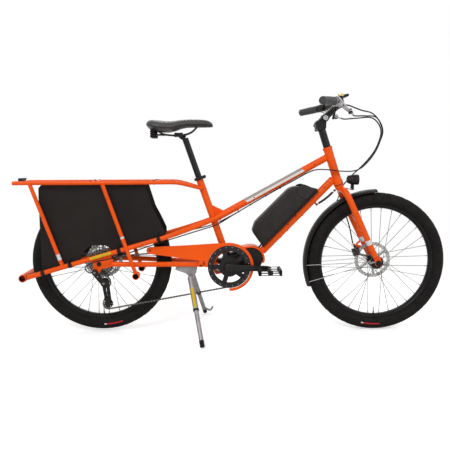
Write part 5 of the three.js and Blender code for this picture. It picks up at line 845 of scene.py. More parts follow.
# Side skirts: a bowed sheet with a stitched hem, hung in straps on the side rail
SKIRT_BACK, SKIRT_FRONT, ARCH = -862, -330, 85
SKIRT_BENDS = (-850, -406, -404.5, -697, -527)  # columns where the top edge or the arch turns
SHOULDER = [(SKIRT_BACK, 650), (-850, 662), (-406, 662), (-404.5, 650.6), (-377.9, 563.7)]
SHOULDER += [(-353.9, 518), (SKIRT_FRONT, 465.3)]
for side, word in SIDES.items():
    out = Y * side
    columns = {*linspace(SKIRT_BACK, SKIRT_FRONT, 90).tolist(), -856, *SKIRT_BENDS}
    rows = linspace(0, 1, 31)
    sheet = []
    for x in sorted(columns):
        top = np.interp(x, *zip(*SHOULDER))
        low = on_rail(x)[2] + 6
        if abs(x - REAR[0]) < ARCH:
            low = max(low, REAR[2] + sqrt(ARCH**2 - (x - REAR[0]) ** 2))
        share = (x - SKIRT_BACK) / (SKIRT_FRONT - SKIRT_BACK)
        column = []
        for t in rows:
            z = low + (top - low) * t
            bow = 1.26 * sin(pi * share) * sin(pi * t)
            roll = 1.9 * max(0, (t - 0.86) / 0.14) ** 2
            column.append(P(x, side * (67.3 + bow + 0.25 * sin(x / 61) * sin(z / 47) - roll), z))
        sheet.append(column)
    sheet = np.array(sheet)
    for half in (0.75, -0.75):
        add(sheet + out * half, grid(*sheet.shape[:2], False, False), "skirt")
    rim = [*sheet[:, 0], *sheet[-1, 1:], *sheet[-2::-1, -1], *sheet[0, -2:0:-1]]
    tube(rim, 1.25, "webbing", 8, loop=True)

    def hem(way, at):
        inward = (P(-600, 0, 520) - at) * (1, 0, 1)
        normal = cross(way, Y)
        return at + normal * (-6 if np.dot(normal, inward) < 0 else 6) + out

    stitches([*rim, rim[0]], 1.9, 0.42, 6.5, 0.15, lift=hem)
    for x in (-853, -734, -522, -350):
        c = on_rail(x, side)
        ring = []
        for t in linspace(0, TURN, 32, endpoint=False):
            r = cos(t) * Y + sin(t) * RAIL_UP
            edges = ((-7, 10.9), (-7, 12.4), (7, 12.4), (7, 10.9))
            ring.append([c + RAIL_WAY * w + r * q for w, q in edges])
        loft(ring, "webbing", closed=True)
        block(c + P(0, -side * 12.2, 14), (14, 1.6, 30), "webbing", 0.5)
        axes = (RAIL_WAY, Y, cross(RAIL_WAY, Y))
        block(c + out * 12.2, (17, 2.2, 12), PLASTIC, 0.9, axes)
    make("skirt_" + word + "_sheet", "frame", "skirt", "skirt_" + word, angle=40)


# Fork
def blade(side):
    """Path and radii of a fork blade, with its middle and its lower end."""
    arch, shoulder = on_head(193), on_head(214, 10, side * 57)
    half = mix(arch, shoulder, 0.5)
    half[1], half[2] = side * 34.2, arch[2] - (arch[2] - shoulder[2]) / 4
    low = P(598, side * 61, 338)
    mid = mix(shoulder, low, 0.5)
    bent = curve([arch, half, shoulder, mid])
    path = [*bent, *(mix(mid, low, t) for t in (0.25, 0.5, 0.75, 1))]
    return path, [14.0] * len(bent) + [13.25, 12.5, 11.75, 11.2], mid, low


rod(on_head(-111), on_head(190), 14.2, "steel", sides=32)
prof = [(AXIS, -0.1), (18.6, 0), (19, 0.6), (19, 9), (17, 15), (13, 19), (AXIS, 20)]
turn(prof, on_head(176.5), "orange", HEAD_DOWN, 40)
CALIPER_RADIUS = 82
CAL = FRONT + polar(CALIPER_RADIUS, 154 * DEG)
REAR_CAL = REAR + polar(CALIPER_RADIUS, 19 * DEG)
for side in SIDES:
    path, radii, mid, low = blade(side)
    tube(path, radii, "orange", 28, edge=2)
    outline = [(584, 352), (619, 338), (626, 317), (626, 297), (622, 296), (605, 296)]
    outline += [(598, 304), (598, 312)]
    ys = (-60.5, -53.3) if side < 0 else (53.3, 60.5)
    plate(outline, ys, "orange", [circle(*FRONT[::2], 5.4, 20)], 1.6)
    weld(P(600, side * 61, 334), unit(low - mid), 11.2)
    rod(mix(mid, low, 0.46), mix(mid, low, 0.6), 13.25, "reflective", 12.7, 28, 0.2)
    boss = on_head(205, 6, side * 45)
    rod(boss, boss + P(4, side * 13.5, 2), 4, "orange")
wheel_pin(FRONT, 61, 70)
for side in SIDES:
    sleeve([(6, 63.6), (13, 63.6), (13.6, 64.2), (13, 65.8), (6, 66)], FRONT, METAL, Y * side, 32)
beam(CAL + P(-7, 61, 28), P(584, 61, CAL[2] + 14), 14, 7, "orange", 1.6)
beam(CAL + P(4, 58, 34), CAL + P(26, 60, 52), 9, 6, "orange", 1.4)
beam(on_head(186, 7), P(500, 0, 633), 3, 16, METAL, 0.6)
beam(P(498, 0, 633), P(509, 0, 634), 4, 18, METAL, 0.8)
LAMP_PIVOT = P(503, 0, 645)
for side in SIDES:
    block(LAMP_PIVOT + Y * side * 7.8, (12, 2.8, 17), METAL, 0.8)
    bolt(LAMP_PIVOT + Y * side * 9.2, Y * side, 3.4, 2.2, "dark_metal")
make("fork_skin", "steering", "frame_orange", "fork")


def caliper(c, lean):
    """A cable disc caliper: cast halves, pads and adjuster; gives the root of its pull arm."""
    u, w = P(cos(lean), 0, -sin(lean)), P(sin(lean), 0, cos(lean))
    axes = (u, Y, w)
    block(c + Y * 7.8, (34, 11.6, 38), "dark_metal", 3.2, axes, 3)
    block(c - Y * 5.4, (28, 6.6, 30), "dark_metal", 2.4, axes, 3)
    block(c + w * 16 + Y, (24, 18, 7), "dark_metal", 2, axes)
    block(c + Y * 2.2, (20, 1.6, 26), "steel", 0.4, axes)
    block(c - Y * 2.2, (20, 1.6, 26), "steel", 0.4, axes)
    cap([(9, 0), (9.8, 1), (9.8, 3), (8.4, 4.8), (3, 5), (2.6, 3.4)], c - Y * 8.4, PLASTIC, -Y, 30)
    cap([(11, 0), (11.6, 1), (11, 3), (4, 3.6)], c + Y * 12.2, METAL, Y, 30)
    for k in (-1, 1):
        bolt(c + w * 13 * k + u * 8 * k + Y * 13.4, Y, 2.8, 2.4, "silver")
    return c + w * 16 + Y * 6


arm = caliper(CAL + Y * 39, -20 * DEG)
a, b = CAL + P(2, 52, 14), CAL + P(-12, 53, 34)
beam(a, b, 6, 6, METAL, 1.5)
pin(b, 4, 4.6, "steel", 0.8)
beam(arm, CAL + P(-5, 55, 25), 8, 6, "dark_metal", 1.5)
build("front_caliper", "steering", "dark_metal")
caliper(REAR_CAL + Y * 45, 19 * DEG)
c = REAR_CAL
beam(c + P(4, 53, 0), c + P(14, 62, 0), 12, 18, "dark_metal", 2)
beam(c + P(14, 66, -2), P(c[0] + 14, 68, 331), 12, 7, "dark_metal", 2)
beam(c + P(0, 52, 2), c + P(14, 52, 34), 6.4, 6.4, METAL, 1.6)
pin(c + P(13, 52, 31), 3.4, 4.4, "steel", 0.8)
build("rear_caliper", "frame", "dark_metal")

# Front mudguard: a crowned shell with rolled edges, its stays and the tab to the fork crown
GUARD_START, GUARD_END = 90.5 * DEG, 200 * DEG
prof = [(325.2 - 11.5 * abs(k) ** 2.6, 32.6 * k) for k in linspace(-1, 1, 17)]
prof += [(r - 1.9, y * 0.965) for r, y in prof[::-1]]
turn(prof, FRONT, PLASTIC, steps=72, closed=True, part=(GUARD_START, GUARD_END))
for y in (-31.52, 31.52):
    path = [FRONT + polar(313.8, t, y) for t in linspace(GUARD_START, GUARD_END, 60)]
    tube(path, 1.3, PLASTIC, 8, 0.3)
for angle in (182, 196):
    for side in SIDES:
        a = FRONT + polar(312, angle * DEG, side * 32)
        rod(a, P(605, side * 55.5, 317), 1.7, "silver", sides=10)
        drum(a - Y * side * 1.5, a + Y * side, 4.2, PLASTIC, 0.8, 20)
beam(FRONT + polar(324.2, 123 * DEG), on_head(204.2), 2.4, 12, METAL, 0.5)
build("front_mudguard", "steering", "black_plastic")

# Headlight: grooved body with fins on top, reflector bowl and lens
prof = [(AXIS, 0), (8, 0.2), (12.5, 1.6), (14, 4), (18, 12), (21.6, 20), (22.8, 24), (22.8, 29)]
prof += [(22, 29.6), (22, 31), (22.8, 31.6), (22.8, 34), (22, 34.6), (22, 36), (22.8, 36.6)]
prof += [(22.9, 50.5), (22.2, 51.9), (20.4, 51.9), (20, 50), (12, 42), (AXIS, 40)]
lamp_back = P(477, 0, 677)
turn(prof, lamp_back, PLASTIC, X, 48)
turn([(AXIS, 50.3), (10, 50.2), (16, 49.6), (20, 48.6)], lamp_back, "lens", X, 40)
turn([(AXIS, 38), (8, 41), (14, 45.5), (19.4, 48.4)], lamp_back, "silver", X, 40)
block(LAMP_PIVOT + Z * 13, (12, 11.6, 14), PLASTIC, 1.6)
pin(LAMP_PIVOT, 5.8, 6, PLASTIC, 0.8, 28)
for k in range(5):
    block(P(482 + k * 3.4, 0, 692.4 + 0.4 * k), (1.4, 16, 6), PLASTIC, 0.4)
build("headlight", "headlight", "black_plastic")

# Steering damper from the down tube's lug to the fork crown
a, b = on_down(148, -27.3), on_head(192, -24)
path = curve([a, mix(a, b, 0.5) - Z * 5, b], 14)
tube(path, 3.2, "steel", 16)
tube(path[3:-3], 4.9, PLASTIC, 20, 1.2)
for k in range(5, len(path) - 5, 2):
    w = unit(path[k + 1] - path[k]) * 0.7
    drum(path[k] - w, path[k] + w, 4.99, "black_gloss", 0.3, 20)
pin(a, 4.2, 4.9, METAL)
pin(b, 4.2, 4.9, METAL)
damper = build("steering_damper", None, "dark_metal")
ends = [((x + SHIFT) / 1000, 0, z / 1000) for x, z in flat([a, b])]
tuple(ends[0])
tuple(ends[1])
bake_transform(damper)

# Riser and adjustable stem
prof = [(14.6, 0.3), (16.4, 0.3), (16.5, 1), (16.5, 18.8)]
for h in (20, 40, 60):
    prof += [(16.2, h - 0.8), (16.2, h - 0.2), (16.5, h + 0.2), (16.5, h + 18.8)]
sleeve([*prof[:-1], (16.5, 79.4), (14.6, 79.4)], on_head(0), METAL, -HEAD_DOWN, 40)
PIVOT, BAR = on_head(-124, 27), P(436, 0, 1006)
outline = [on_head(-78.8, -25.5), on_head(-78.8, 16.5), on_head(-107, 27), on_head(-112, 39)]
outline += [on_head(-124, 44), on_head(-141, 27), on_head(-119, -12), on_head(-121, -16.5)]
plate(flat([*outline, on_head(-112, -25.5)]), (-20, 20), METAL, edge=3.5)
cap([(12, 0), (14.4, 1.4), (14.4, 3)], on_head(-121), PLASTIC, -HEAD_DOWN, 30)
bolt(on_head(-122.6), -HEAD_DOWN, 4, 3, "steel")
for d in (-87, -106):
    for side in SIDES:
        rod(on_head(d, -23.4, side * 9), on_head(d, -23.4, side * 19.6), 4.6, METAL)
        bolt(on_head(d, -23.4, side * 19.2), Y * side, 3.6, 0.8, "steel")
way = unit(BAR - PIVOT)
up = cross(way, Y)
arm = [(0, 14, 16), (14, 14.4, 15), (28, 14.6, 13.6), (50, 14.8, 13.4), (70, 15.4, 15.5)]
loft([oval(PIVOT + way * d, Y, wide, up, high, 0.5) for d, wide, high in arm], METAL)
pin(PIVOT, 20, 17, METAL, 2.5, 48)
pin(BAR, 20, 20, METAL, 3, 48)
prof = [(11, 0), (11, 2.2), (10, 3.6), (7.4, 4), (6.8, 3.4), (3.4, 3.2), (3.2, 1.6)]
for side in SIDES:
    cap(prof, PIVOT + Y * side * 20, "silver", Y * side, 40)
    for k in (-1, 1):
        bolt(BAR + Y * side * 12 + up * 13 * k + way * 10, way, 3.2, 8, "steel")
build("stem", "steering", "black_metal")


# Handlebar with its grips
def grip_end(side):
    return P(312, side * 270, 993)


def bar_points(side):
    bend = P(412, side * 122, BAR[2])
    return [BAR + Y * side * 52, bend, mix(bend, grip_end(side), 1 / 3)]


def grip_way(side):
    return unit(bar_points(side)[2] - grip_end(side))


def on_grip(side, inwards):
    return grip_end(side) + grip_way(side) * inwards


half = [[BAR + Y * side * 36.4, *bar_points(side), on_grip(side, 9)] for side in SIDES]
tube(curve([*half[0][::-1], *half[1]], 12), 11.1, METAL, 28, 1)
prof = [(AXIS, 0), (11, 0), (14.8, 0.8), (16.4, 3.4), (16.6, 8), (15.6, 10), (15.4, 12)]
for d in 15 + 4.4 * np.arange(22):
    swell = 15.6 + 1.2 * sin(pi * (d - 12) / 106)
    prof += [(swell, d), (swell, d + 2.6), (swell - 0.7, d + 3.1), (swell - 0.7, d + 3.9)]
prof += [(15.6, 112), (16.6, 113.2), (16.6, 116.6), (15.4, 117.9), (11.2, 117.9)]
for side in SIDES:
    turn(prof, grip_end(side), "grip", grip_way(side), 36)
    plug = [(AXIS, 0.3), (7, 0.2), (8.6, -0.05), (9, 0.6)]
    turn(plug, grip_end(side), PLASTIC, grip_way(side), 24)
build("handlebar", "steering", "black_metal")

# Controls, levers and the shifter
barrels, pods = {}, {}  # of each side: measures along the lever's barrel, the control's middle
for side, word in SIDES.items():
    near, far, way = on_grip(side, 118.3), on_grip(side, 164.3), grip_way(side)
    cast = side < 0
    prof = [(11.4, 0.4), (15.6, 0.4), (16.8, 2), (17, 5), (16.2, 7), (16.2, 18), (17, 20)]
    prof += [(17, 42), (16, 45), (11.4, 45.6)]
    sleeve(prof, near, "cast" if cast else METAL, way, 36)
    turn([(16.3, 7.6), (17.05, 8.2), (17.05, 17), (16.3, 17.6)], near, PLASTIC, way, 36)
    pivot, tip = far + P(50, 0, -42), grip_end(side) + P(58, 0, 16)
    lw = unit(tip - pivot)
    ax = unit(cross(lw, grip_end(side) - pivot))
    barrels[side] = measured(pivot, -lw, ax)
    post, root = mix(near, far, 0.62), barrels[side](26)
    rod(post, mix(post, barrels[side](17), 0.96), 9.2, "silver", 7, 24, 2)
    for k in (-1, 1):
        drum(pivot + ax * 3.9 * k, pivot + ax * 8.6 * k, 9.6, METAL, 1.2, 32)
        rivet(pivot + ax * 8.3 * k, ax * k, 3.2, 0.9, "steel")
    rod(pivot - lw * 7.8, root, 4.9, "silver", 4.4, 20)
    prof = [(AXIS, 0), (4.2, 0), (4.9, 0.6), (4.9, 9), (4, 10), (3.4, 13), (AXIS, 13.4)]
    turn(prof, root, "silver", -lw, 20)
    pods[side] = mix(near, far, 0.5)
    if cast:
        c = pods[side] + P(8.5, 0, -17)
        block(c, (33, 36, 16.6), "cast", 4, segments=3)
        block(c + P(2, 0, 0.3), (33.2, 22, 13), PLASTIC, 3.4, segments=3)
        rod(c + X * 13, c + X * 25.3, 4.6, PLASTIC, 3.8, 20)
    else:
        c = mix(near, far, 0.45) + P(-2, 0, 13)
        block(c, (18, 22, 6), PLASTIC, 2, segments=3)
        for k in (-1, 1):
            block(c + P(0, 5 * k, 3), (8, 6, 1.6), "rubber", 0.6)
    build("control_" + word, "steering", "cast_silver" if cast else "black_metal")

    drum(pivot - ax * 3.3, pivot + ax * 3.3, 9.2, "silver", 1, 32)
    rings = []
    for t in linspace(0, 1, 27):
        end = t > 0.9
        hook = 1.6 * sin(pi * t) + (1.2 * (t - 0.9) / 0.1 if end else 0)
        grow = 0.35 if t in (0, 1) else 1
        wide, high = (3.1 + 0.5 * sin(pi * t)) * grow, (3.3 - 0.2 * t + 0.7 * end) * grow
        u = cross(lw, ax)
        rings.append(oval(mix(pivot, tip, t) + u * hook * 0.3, u, high, ax, wide, count=20))
    loft(rings, "silver")
    rod(tip - lw * 3, tip - lw * 0.2, 3.9, "silver", 3.2, 20, 1.2)
    build("brake_lever_" + word, "brake_lever_" + word, "silver_metal")

top = pods[-1] - Z * 25.8
mid, tip = top - Z * 3.5, top + P(-12, 0, -48)
drum(top - Z * 7, top - Z * 0.1, 11.8, PLASTIC, 1.4, 36)
bolt(top - Z * 6.4, -Z, 4, 1.6, "steel")
path = curve([mid, mix(mid, tip, 0.35) - X, mix(mid, tip, 0.75), tip], 6)
tube(path, linspace(3.4, 5.2, len(path)), PLASTIC, 20, 1.6)
w = unit(tip - mid) * 0.8
for k in (0.72, 0.82, 0.92):
    drum(mix(mid, tip, k) - w, mix(mid, tip, k) + w, 5.35, "rubber", 0.4, 20)
build("shift_lever", "shift_lever", "black_plastic")

# Display over the clamp, with its two legs
lean = -14 * DEG
axes = (P(cos(lean), 0, -sin(lean)), Y, P(sin(lean), 0, cos(lean)))
mid = P(446, 0, 1036)
block(mid, (51.6, 77.6, 11.8), PLASTIC, 4, axes, 4)
block(mid + axes[2] * 5.3 + axes[0] * 2, (33, 58, 1.4), "screen", 0.6, axes)
for k in (-1, 0, 1):
    block(mid + axes[2] * 5.4 - axes[0] * 19 + Y * 15 * k, (5, 10, 1.4), "rubber", 0.6, axes)
for side in SIDES:
    outline = capsule(BAR[::2], 15.2, (438, 1034), 10)
    plate(outline, span(side, 21.2, 29.8), PLASTIC, [circle(*BAR[::2], 11.3, 36)], 1.4)
    rivet(P(436, side * 29.6, 993.5), Y * side, 2.4, 1, "steel")
build("display", "steering", "black_plastic")

# Bell and its thumb striker
first, second, _ = bar_points(-1)
seat = mix(first, second, 4 / 7)
base = seat + Z * 20
prof = [(11.3, -8.8), (13.6, -8.8), (14.4, -8), (14.4, 8), (13.6, 8.8), (11.3, 8.8)]
sleeve(prof, seat, PLASTIC, unit(second - first), 36)
cap([(7.8, 10), (7.4, 15), (8, 18.4), (7.2, 20)], seat, PLASTIC, Z, 28)
rod(base, base + Z * 9, 2.2, "steel", sides=16)
prof = [(AXIS, 13), (9, 11.6), (12.6, 7), (13, 3.9), (13.4, 3.7), (14, 4.2), (13.9, 7.4)]
prof += [(12.6, 10.6), (10, 13), (6, 14.4), (2.6, 14.8), (2.4, 14.95), (AXIS, 14.98)]
turn(prof, base, "brass", Z, 48)
build("bell", "steering", "bell_metal")
sleeve([(2.75, 0.4), (6.6, 0.4), (7, 0.9), (6.8, 2.7), (2.75, 2.9)], base, PLASTIC, Z, 28)
corners = [(-1, -0.6), (-0.7, -1), (0.7, -1), (1, -0.6)]
corners += [(-c, -q) for c, q in corners]
rings = []
for far, w in ((4, 2.6), (10, 2.6), (15, 3.1), (19.4, 2.2)):
    rings.append([base + P(-far, c * w, 1.65 + q * 1.2) for c, q in corners])
loft(rings, PLASTIC)
build("bell_striker", "bell_striker", "black_plastic")

# Cables along their held routes, raised where they pass beside the battery
LIFT = TOP_UP * 3.9
THIN = 90  # step along a rear cable from which it is thinner
front_line = [
    barrels[1](40.3), barrels[1](52), P(530, 62, 950), P(594, 38, 949), P(622, 26, 919),
    P(631, 22, 885), P(622, 18, 847), P(604, 19, 805), P(572, 24, 760), P(538, 36, 722),
    P(500, 58, 680), P(470, 77, 625), P(486, 79, 545), P(513, 79, 460), P(522, 70, 412),
    CAL + P(-14, 54, 39.2),
]
shared = [
    P(592, -30, 947), P(619, -12, 917), P(628, -8, 884), P(619, -4, 847), P(601, -7, 805),
    P(569, -12, 760), P(533, -20, 728), P(500, -26, 716), P(440, -31, 716), P(385, -27, 722),
    P(330, -10, 720), P(240, 0, 670) + LIFT, P(100, 0, 593.5) + LIFT, P(-20, 0, 528),
]
brake_line = [
    barrels[-1](40.3), barrels[-1](52), P(535, -62, 950), *shared, P(-60, 17, 505),
    P(-100, 27, 484), P(-150, 36, 468), P(-210, 54, 452), P(-300, 72, 428), P(-400, 76, 396),
    P(-490, 72, 371), REAR_CAL + P(14, 52, 39.2),
]
start = pods[-1] + P(25.5, 0, -17)
shift_line = [
    start + X * 8.8, start + X * 20.5, P(500, -130, 968), P(556, -78, 962),
    *[p - Y * 5.5 for p in shared], P(-60, -20, 505), P(-100, -29, 483), P(-150, -38, 468),
    P(-210, -56, 452), P(-300, -74, 426), P(-400, -76, 395), P(-500, -78, 362),
    P(-560, -97, 346), P(-630, -100, 332), P(-668, -94, 306), P(-654, -87, 284),
    P(-642.3, -87, 284),
]


def cable(points, last=5):
    """A cable with a ferrule on each end; those with a longer last one thin out at THIN."""
    line = curve(points, 10)
    tube(line, [2.5 if last > 5 and k >= THIN else 2.9 for k in range(len(line))], "cable", 12)
    for some in (line[:5], line[-last:]):
        tube(some, 3.1, "black_gloss", 14, 0.6)


cable(front_line)
rod(front_line[-1], CAL + P(-12, 54, 33), 0.9, "steel", sides=8)
build("brake_cable_front", "steering", "cable_black")
cable(brake_line, 6)
cable(shift_line, 6)
for k, p in ((11, 0.4), (11, 0.85), (12, 0.4), (12, 0.85)):
    w = unit(shared[k + 1] - shared[k])
    at = mix(shared[k], shared[k + 1], p) - Y * 2.75
    block(at, (7, 13, 7), PLASTIC, 1.6, (w, Y, cross(w, Y)))
cables = build("cables_rear", None, "cable_black")
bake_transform(cables)

# Seat clamp lever, seatpost and saddle
hinge = P(-152.556, -19.3, 694.358)
rod(hinge - SEAT_DOWN * 7, hinge + SEAT_DOWN * 7, 4.9, METAL, sides=24)
root, tip = hinge - Y * 4, on_seat(7, -21.5, -23.3)
rings = []
for t in linspace(0, 1, 12):
    c = mix(root, tip, t) - Y * 0.64 * sin(pi * t)
    high, thick = 4.9 - 1.5 * sin(pi * t) + 0.6 * t, 2.2
    if t in (0, 1):
        high, thick = high * 0.7, thick * 0.5
    rings.append(oval(c, SEAT_DOWN, high, Y, thick, count=20))
loft(rings, METAL)
build("seat_clamp_lever", "seat_clamp_lever", "silver_metal")

post = on_seat(-178)
rod(post, on_seat(99), 13.6, METAL, sides=40)
ring = [(13.65, 0), (13.8, 0.6), (13.8, 3.4), (13.65, 4)]
turn(ring, on_seat(-12), PLASTIC, -SEAT_DOWN, 36)
clamp = P(post[0] - 27.2, 0, 876)
rod(post, mix(post, clamp, 0.8), 12.6, METAL, 11.5, 28)
block(clamp - Z * 4, (40, 50, 10), METAL, 3, segments=3)
block(clamp + Z * 5, (36, 49, 7), METAL, 2.6, segments=3)
pin(clamp, 26.4, 7, METAL, 1.4, 28)
for k in (-1, 1):
    at = clamp + X * 14 * k
    bolt(at + Z * 7.8, Z, 3, 2.4, "steel")
    rod(at - Z * 10, at + Z * 8, 2.4, "steel", sides=12)
    track = ((-352, 23, 893), (-342, 22, 885), (-313, 22, 876), (-238, 22, 876), (-206, 18, 888))
    track = [P(x, k * y, z) for x, y, z in (*track, (-180, 12, 912))]
    tube(curve(track, 10), 3.4, "dark_metal", 16)
    a, b = P(-371, k * 34, 864), P(-371, k * 34, 905)
    bumper = []
    for h in 9.8 * np.arange(4):
        bumper += [(11, 2 + h), (13.9, 5 + h), (13.9, 8 + h), (11, 11 + h)]
    turn([(AXIS, 0), *bumper, (AXIS, 41)], a, "rubber", Z, 36)
    drum(a - Z * 1.4, a + Z * 1.6, 13.6, PLASTIC, 0.8, 32)
    drum(b - Z, b + Z * 3.6, 13, PLASTIC, 0.8, 32)
    rod(a, b, 4, PLASTIC)
block(P(-347.8, 0, 876), (56, 64, 6.4), METAL, 2)
build("seatpost", "seat", "black_metal")

# Saddle sections: share of the length from the back, half width, top and underside
SADDLE = [
    (0, 0.42, 0.66, 0.5), (0.03, 0.7, 0.85, 0.3), (0.09, 0.9, 0.92, 0.14),
    (0.18, 1, 0.89, 0.04), (0.3, 0.98, 0.84, 0), (0.37, 0.87, 0.835, 0.03),
    (0.44, 0.74, 0.87, 0.12), (0.52, 0.58, 0.925, 0.26), (0.6, 0.46, 0.96, 0.34),
    (0.7, 0.37, 0.97, 0.36), (0.8, 0.3, 0.965, 0.36), (0.9, 0.25, 0.92, 0.36),
    (0.96, 0.2, 0.8, 0.37), (0.99, 0.14, 0.66, 0.39), (1, 0.09, 0.58, 0.42),
]


def saddle():
    """Cushion over a moulded base, with a sunk centre channel and two sewn seams."""
    tops = curve([row[:3] for row in SADDLE], 6)
    lows = np.interp(tops[:, 0], [row[0] for row in SADDLE], [row[3] for row in SADDLE])
    rings, hem = [], []
    for (place, wide, top), base in zip(tops, lows):
        place = min(1, max(0, place))
        x, half, high, low = -400 + 286 * place, 88 * wide, 886 + 58 * top, 886 + 58 * base
        edge = mix(low, high, 0.35)
        seam = min(0.62 * half, half - 6)
        ring = []
        for t in linspace(0, TURN, 72, endpoint=False):
            c, q = cos(t), sin(t)
            y = np.sign(c) * abs(c) ** 0.7 * half
            if q >= 0:
                channel = 3.4 * exp(-((y / 8.5) ** 2)) * sin(pi * place)
                stitch = 1.1 * exp(-(((abs(y) - seam) / 1.5) ** 2))
                rise = max(0, (high - edge) * q**0.8 - (channel + stitch) * q)
            else:
                rise = -(edge - low) * abs(q) ** 0.5
                y *= 1 - 0.35 * abs(q) ** 0.5
            ring.append(P(x, y, edge + rise))
        rings.append(ring)
        hem.append((x, half, edge))
    loft(rings, "saddle")
    for side in SIDES:
        path = [P(x, side * (half + 0.15), edge + 0.6) for x, half, edge in hem[2:-2]]
        tube(path, 1.25, PLASTIC, 8, 0.4)
        path = [P(x, side * half * 0.985, edge + 4.5) for x, half, edge in hem[3:-3]]
        stitches(path, 1.5, 0.4, 5.5, 0.12, walk=6)


saddle()
cushion = make("saddle_cushion", "seat", "saddle_cover", "saddle", angle=50)


# Drive unit, painted shell and chain guard
NOSE, DRIVE = (52, 328), (-40, 302)
plate(capsule(DRIVE, 46, NOSE, 52, 40), (-30, 38), PLASTIC, edge=5)
for ys in ((-38, -29), (37, 46)):
    hole = circle(*BB[::2], 12.6, 40)
    plate(capsule(DRIVE, 43, NOSE, 48, 40), ys, PLASTIC, [hole], 2)
middle = P(DRIVE[0], 0, DRIVE[1])
for angle in (28, 96, 158):
    t = angle * DEG
    beam(middle + polar(40, t), BB + polar(62, t), 16, 40, METAL, 2)
for side, y in ((-1, -37.4), (1, 45.4)):
    out = Y * side
    prof = [(13, -1), (30, -1), (30, 0.2), (27, 0.6), (26, 0.1), (13, 0.1)]
    sleeve(prof, BB + Y * y, "black_gloss", out)
    for angle in (60, 105, 150, 200, 250, 300):
        bolt(middle + polar(38, angle * DEG, y - side * 1.4), out, 3, 2, "dark_metal")
    for k in range(6):
        foot = P(34 + k * 9, y - side * 0.4, 300)
        beam(foot, foot + Z * (52 - abs(k - 2) * 3), 3, 1.6, "black_gloss", 0.6)
rod(P(84, 0, 371), on_down(436, 24), 4, "cable", sides=16)
build("drive_unit", "frame", "drive_housing")

outline = capsule(BB[::2], 66.8, NOSE, 56.8, 60)
kept = [
    (x, z) for x, z in outline if (z > 264 if x < BB[0] else x < 52 and z > 300 or z > 315)
]
kept.sort(key=lambda p: -atan2(p[1] - 290, p[0] - 5))
path = np.array([P(x, 0, z) for x, z in kept])
step = [unit(t) for t in np.gradient(path, axis=0)]
normals = [cross(Y, t) * np.sign(np.dot(cross(Y, t), p - P(5, 0, 310))) for p, t in zip(path, step)]
corners = [(-1, -0.8), (-0.97, -1), (0.97, -1), (1, -0.8), (1, 0.5), (0.95, 0.85), (0.86, 1)]
corners += [(-0.86, 1), (-0.95, 0.85), (-1, 0.5)]
loft([[p + Y * 36 * c + n * 4.4 * q for c, q in corners] for p, n in zip(path, normals)], "orange")
for k in (6, len(path) // 2, len(path) - 7):
    for side in SIDES:
        at = path[k] + normals[k] * 3.6 + Y * side * 24
        rivet(at, normals[k], 3.6, 1.0, METAL)
build("motor_shell", "frame", "frame_orange")

TAIL, HOOP = (-392, 376), tuple(BB[::2])
outline = [(-393.933413, 361.125125)]
outline += arc(*TAIL, 15, -1.68, -4.6, 14) + arc(*HOOP, 107, 99 * DEG, -90 * DEG, 60)
outline += arc(*HOOP, 95, -90 * DEG, pi, 80) + arc(*HOOP, 107, pi, 166 * DEG, 6)
plate(outline, (-64, -61), "orange", edge=0.9)
rim = [(-390, 389.6), (-250, 395.4), (-110, 403.6), *arc(*HOOP, 106, 99 * DEG, -88 * DEG, 50)]
tube([P(x, -62.4, z) for x, z in rim], 1.6, "orange", 8, 0.4)
foot = mix(STAY_START, STAY_END, 75 / 465)
block(P(-170, -62.5, (foot[2] + 356) / 2), (16, 2.8, 372 - foot[2]), "orange", 0.8)
disc(-170, foot[2], 5.6, -62.5, -52, "orange", 0.8, 24)
rivet(P(-170, -63.6, foot[2]), -Y, 4.2, 2.2, METAL)
rivet(P(-392, -63.6, 376), -Y, 4.2, 2.2, METAL)
for x, z in ((-120, 382), (-280, 378)):
    rivet(P(x, -63.8, z), -Y, 3.2, 1.4, "orange")
skin("chain_guard")


# Drive train
def toothed(x, z, teeth, root, tip):
    """Outline of a toothed wheel."""
    out = []
    for k in range(teeth):
        for off, r in ((0, root), (0.22, root), (0.42, tip), (0.58, tip), (0.78, root)):
            out += arc(x, z, r, TURN * (k + off) / teeth, 0, 1)
    return out


def arm_hole(x, z, inner, outer, a, b):
    """Outline of a window between two arms."""
    return arc(x, z, inner, a, b, 8) + arc(x, z, outer, b + 0.14, a - 0.14, 12)


PITCH, RING_TEETH, COG_TEETH = 12.7, 44, 12
RING, COG = RING_TEETH * PITCH / TURN, COG_TEETH * PITCH / TURN
ring_at, cog_at, guide_at, tension_at = HOOP, tuple(REAR[::2]), (-592, 236), (-579, 139)
CHAIN = Y * -54
CRANK, CRANK_Y = 170, 81
# Sections of a crank arm: along it, half thickness, half height
ARM = [
    (-19, 5, 8), (-17, 6.2, 13), (-8, 6.9, 18.4), (6, 6.9, 18.6), (26, 6.6, 15.6), (60, 6.2, 14),
    (110, 6, 13), (150, 6.2, 12.6), (166, 6.2, 12), (176, 6, 10), (180.5, 4.6, 6),
]
eyes = {}


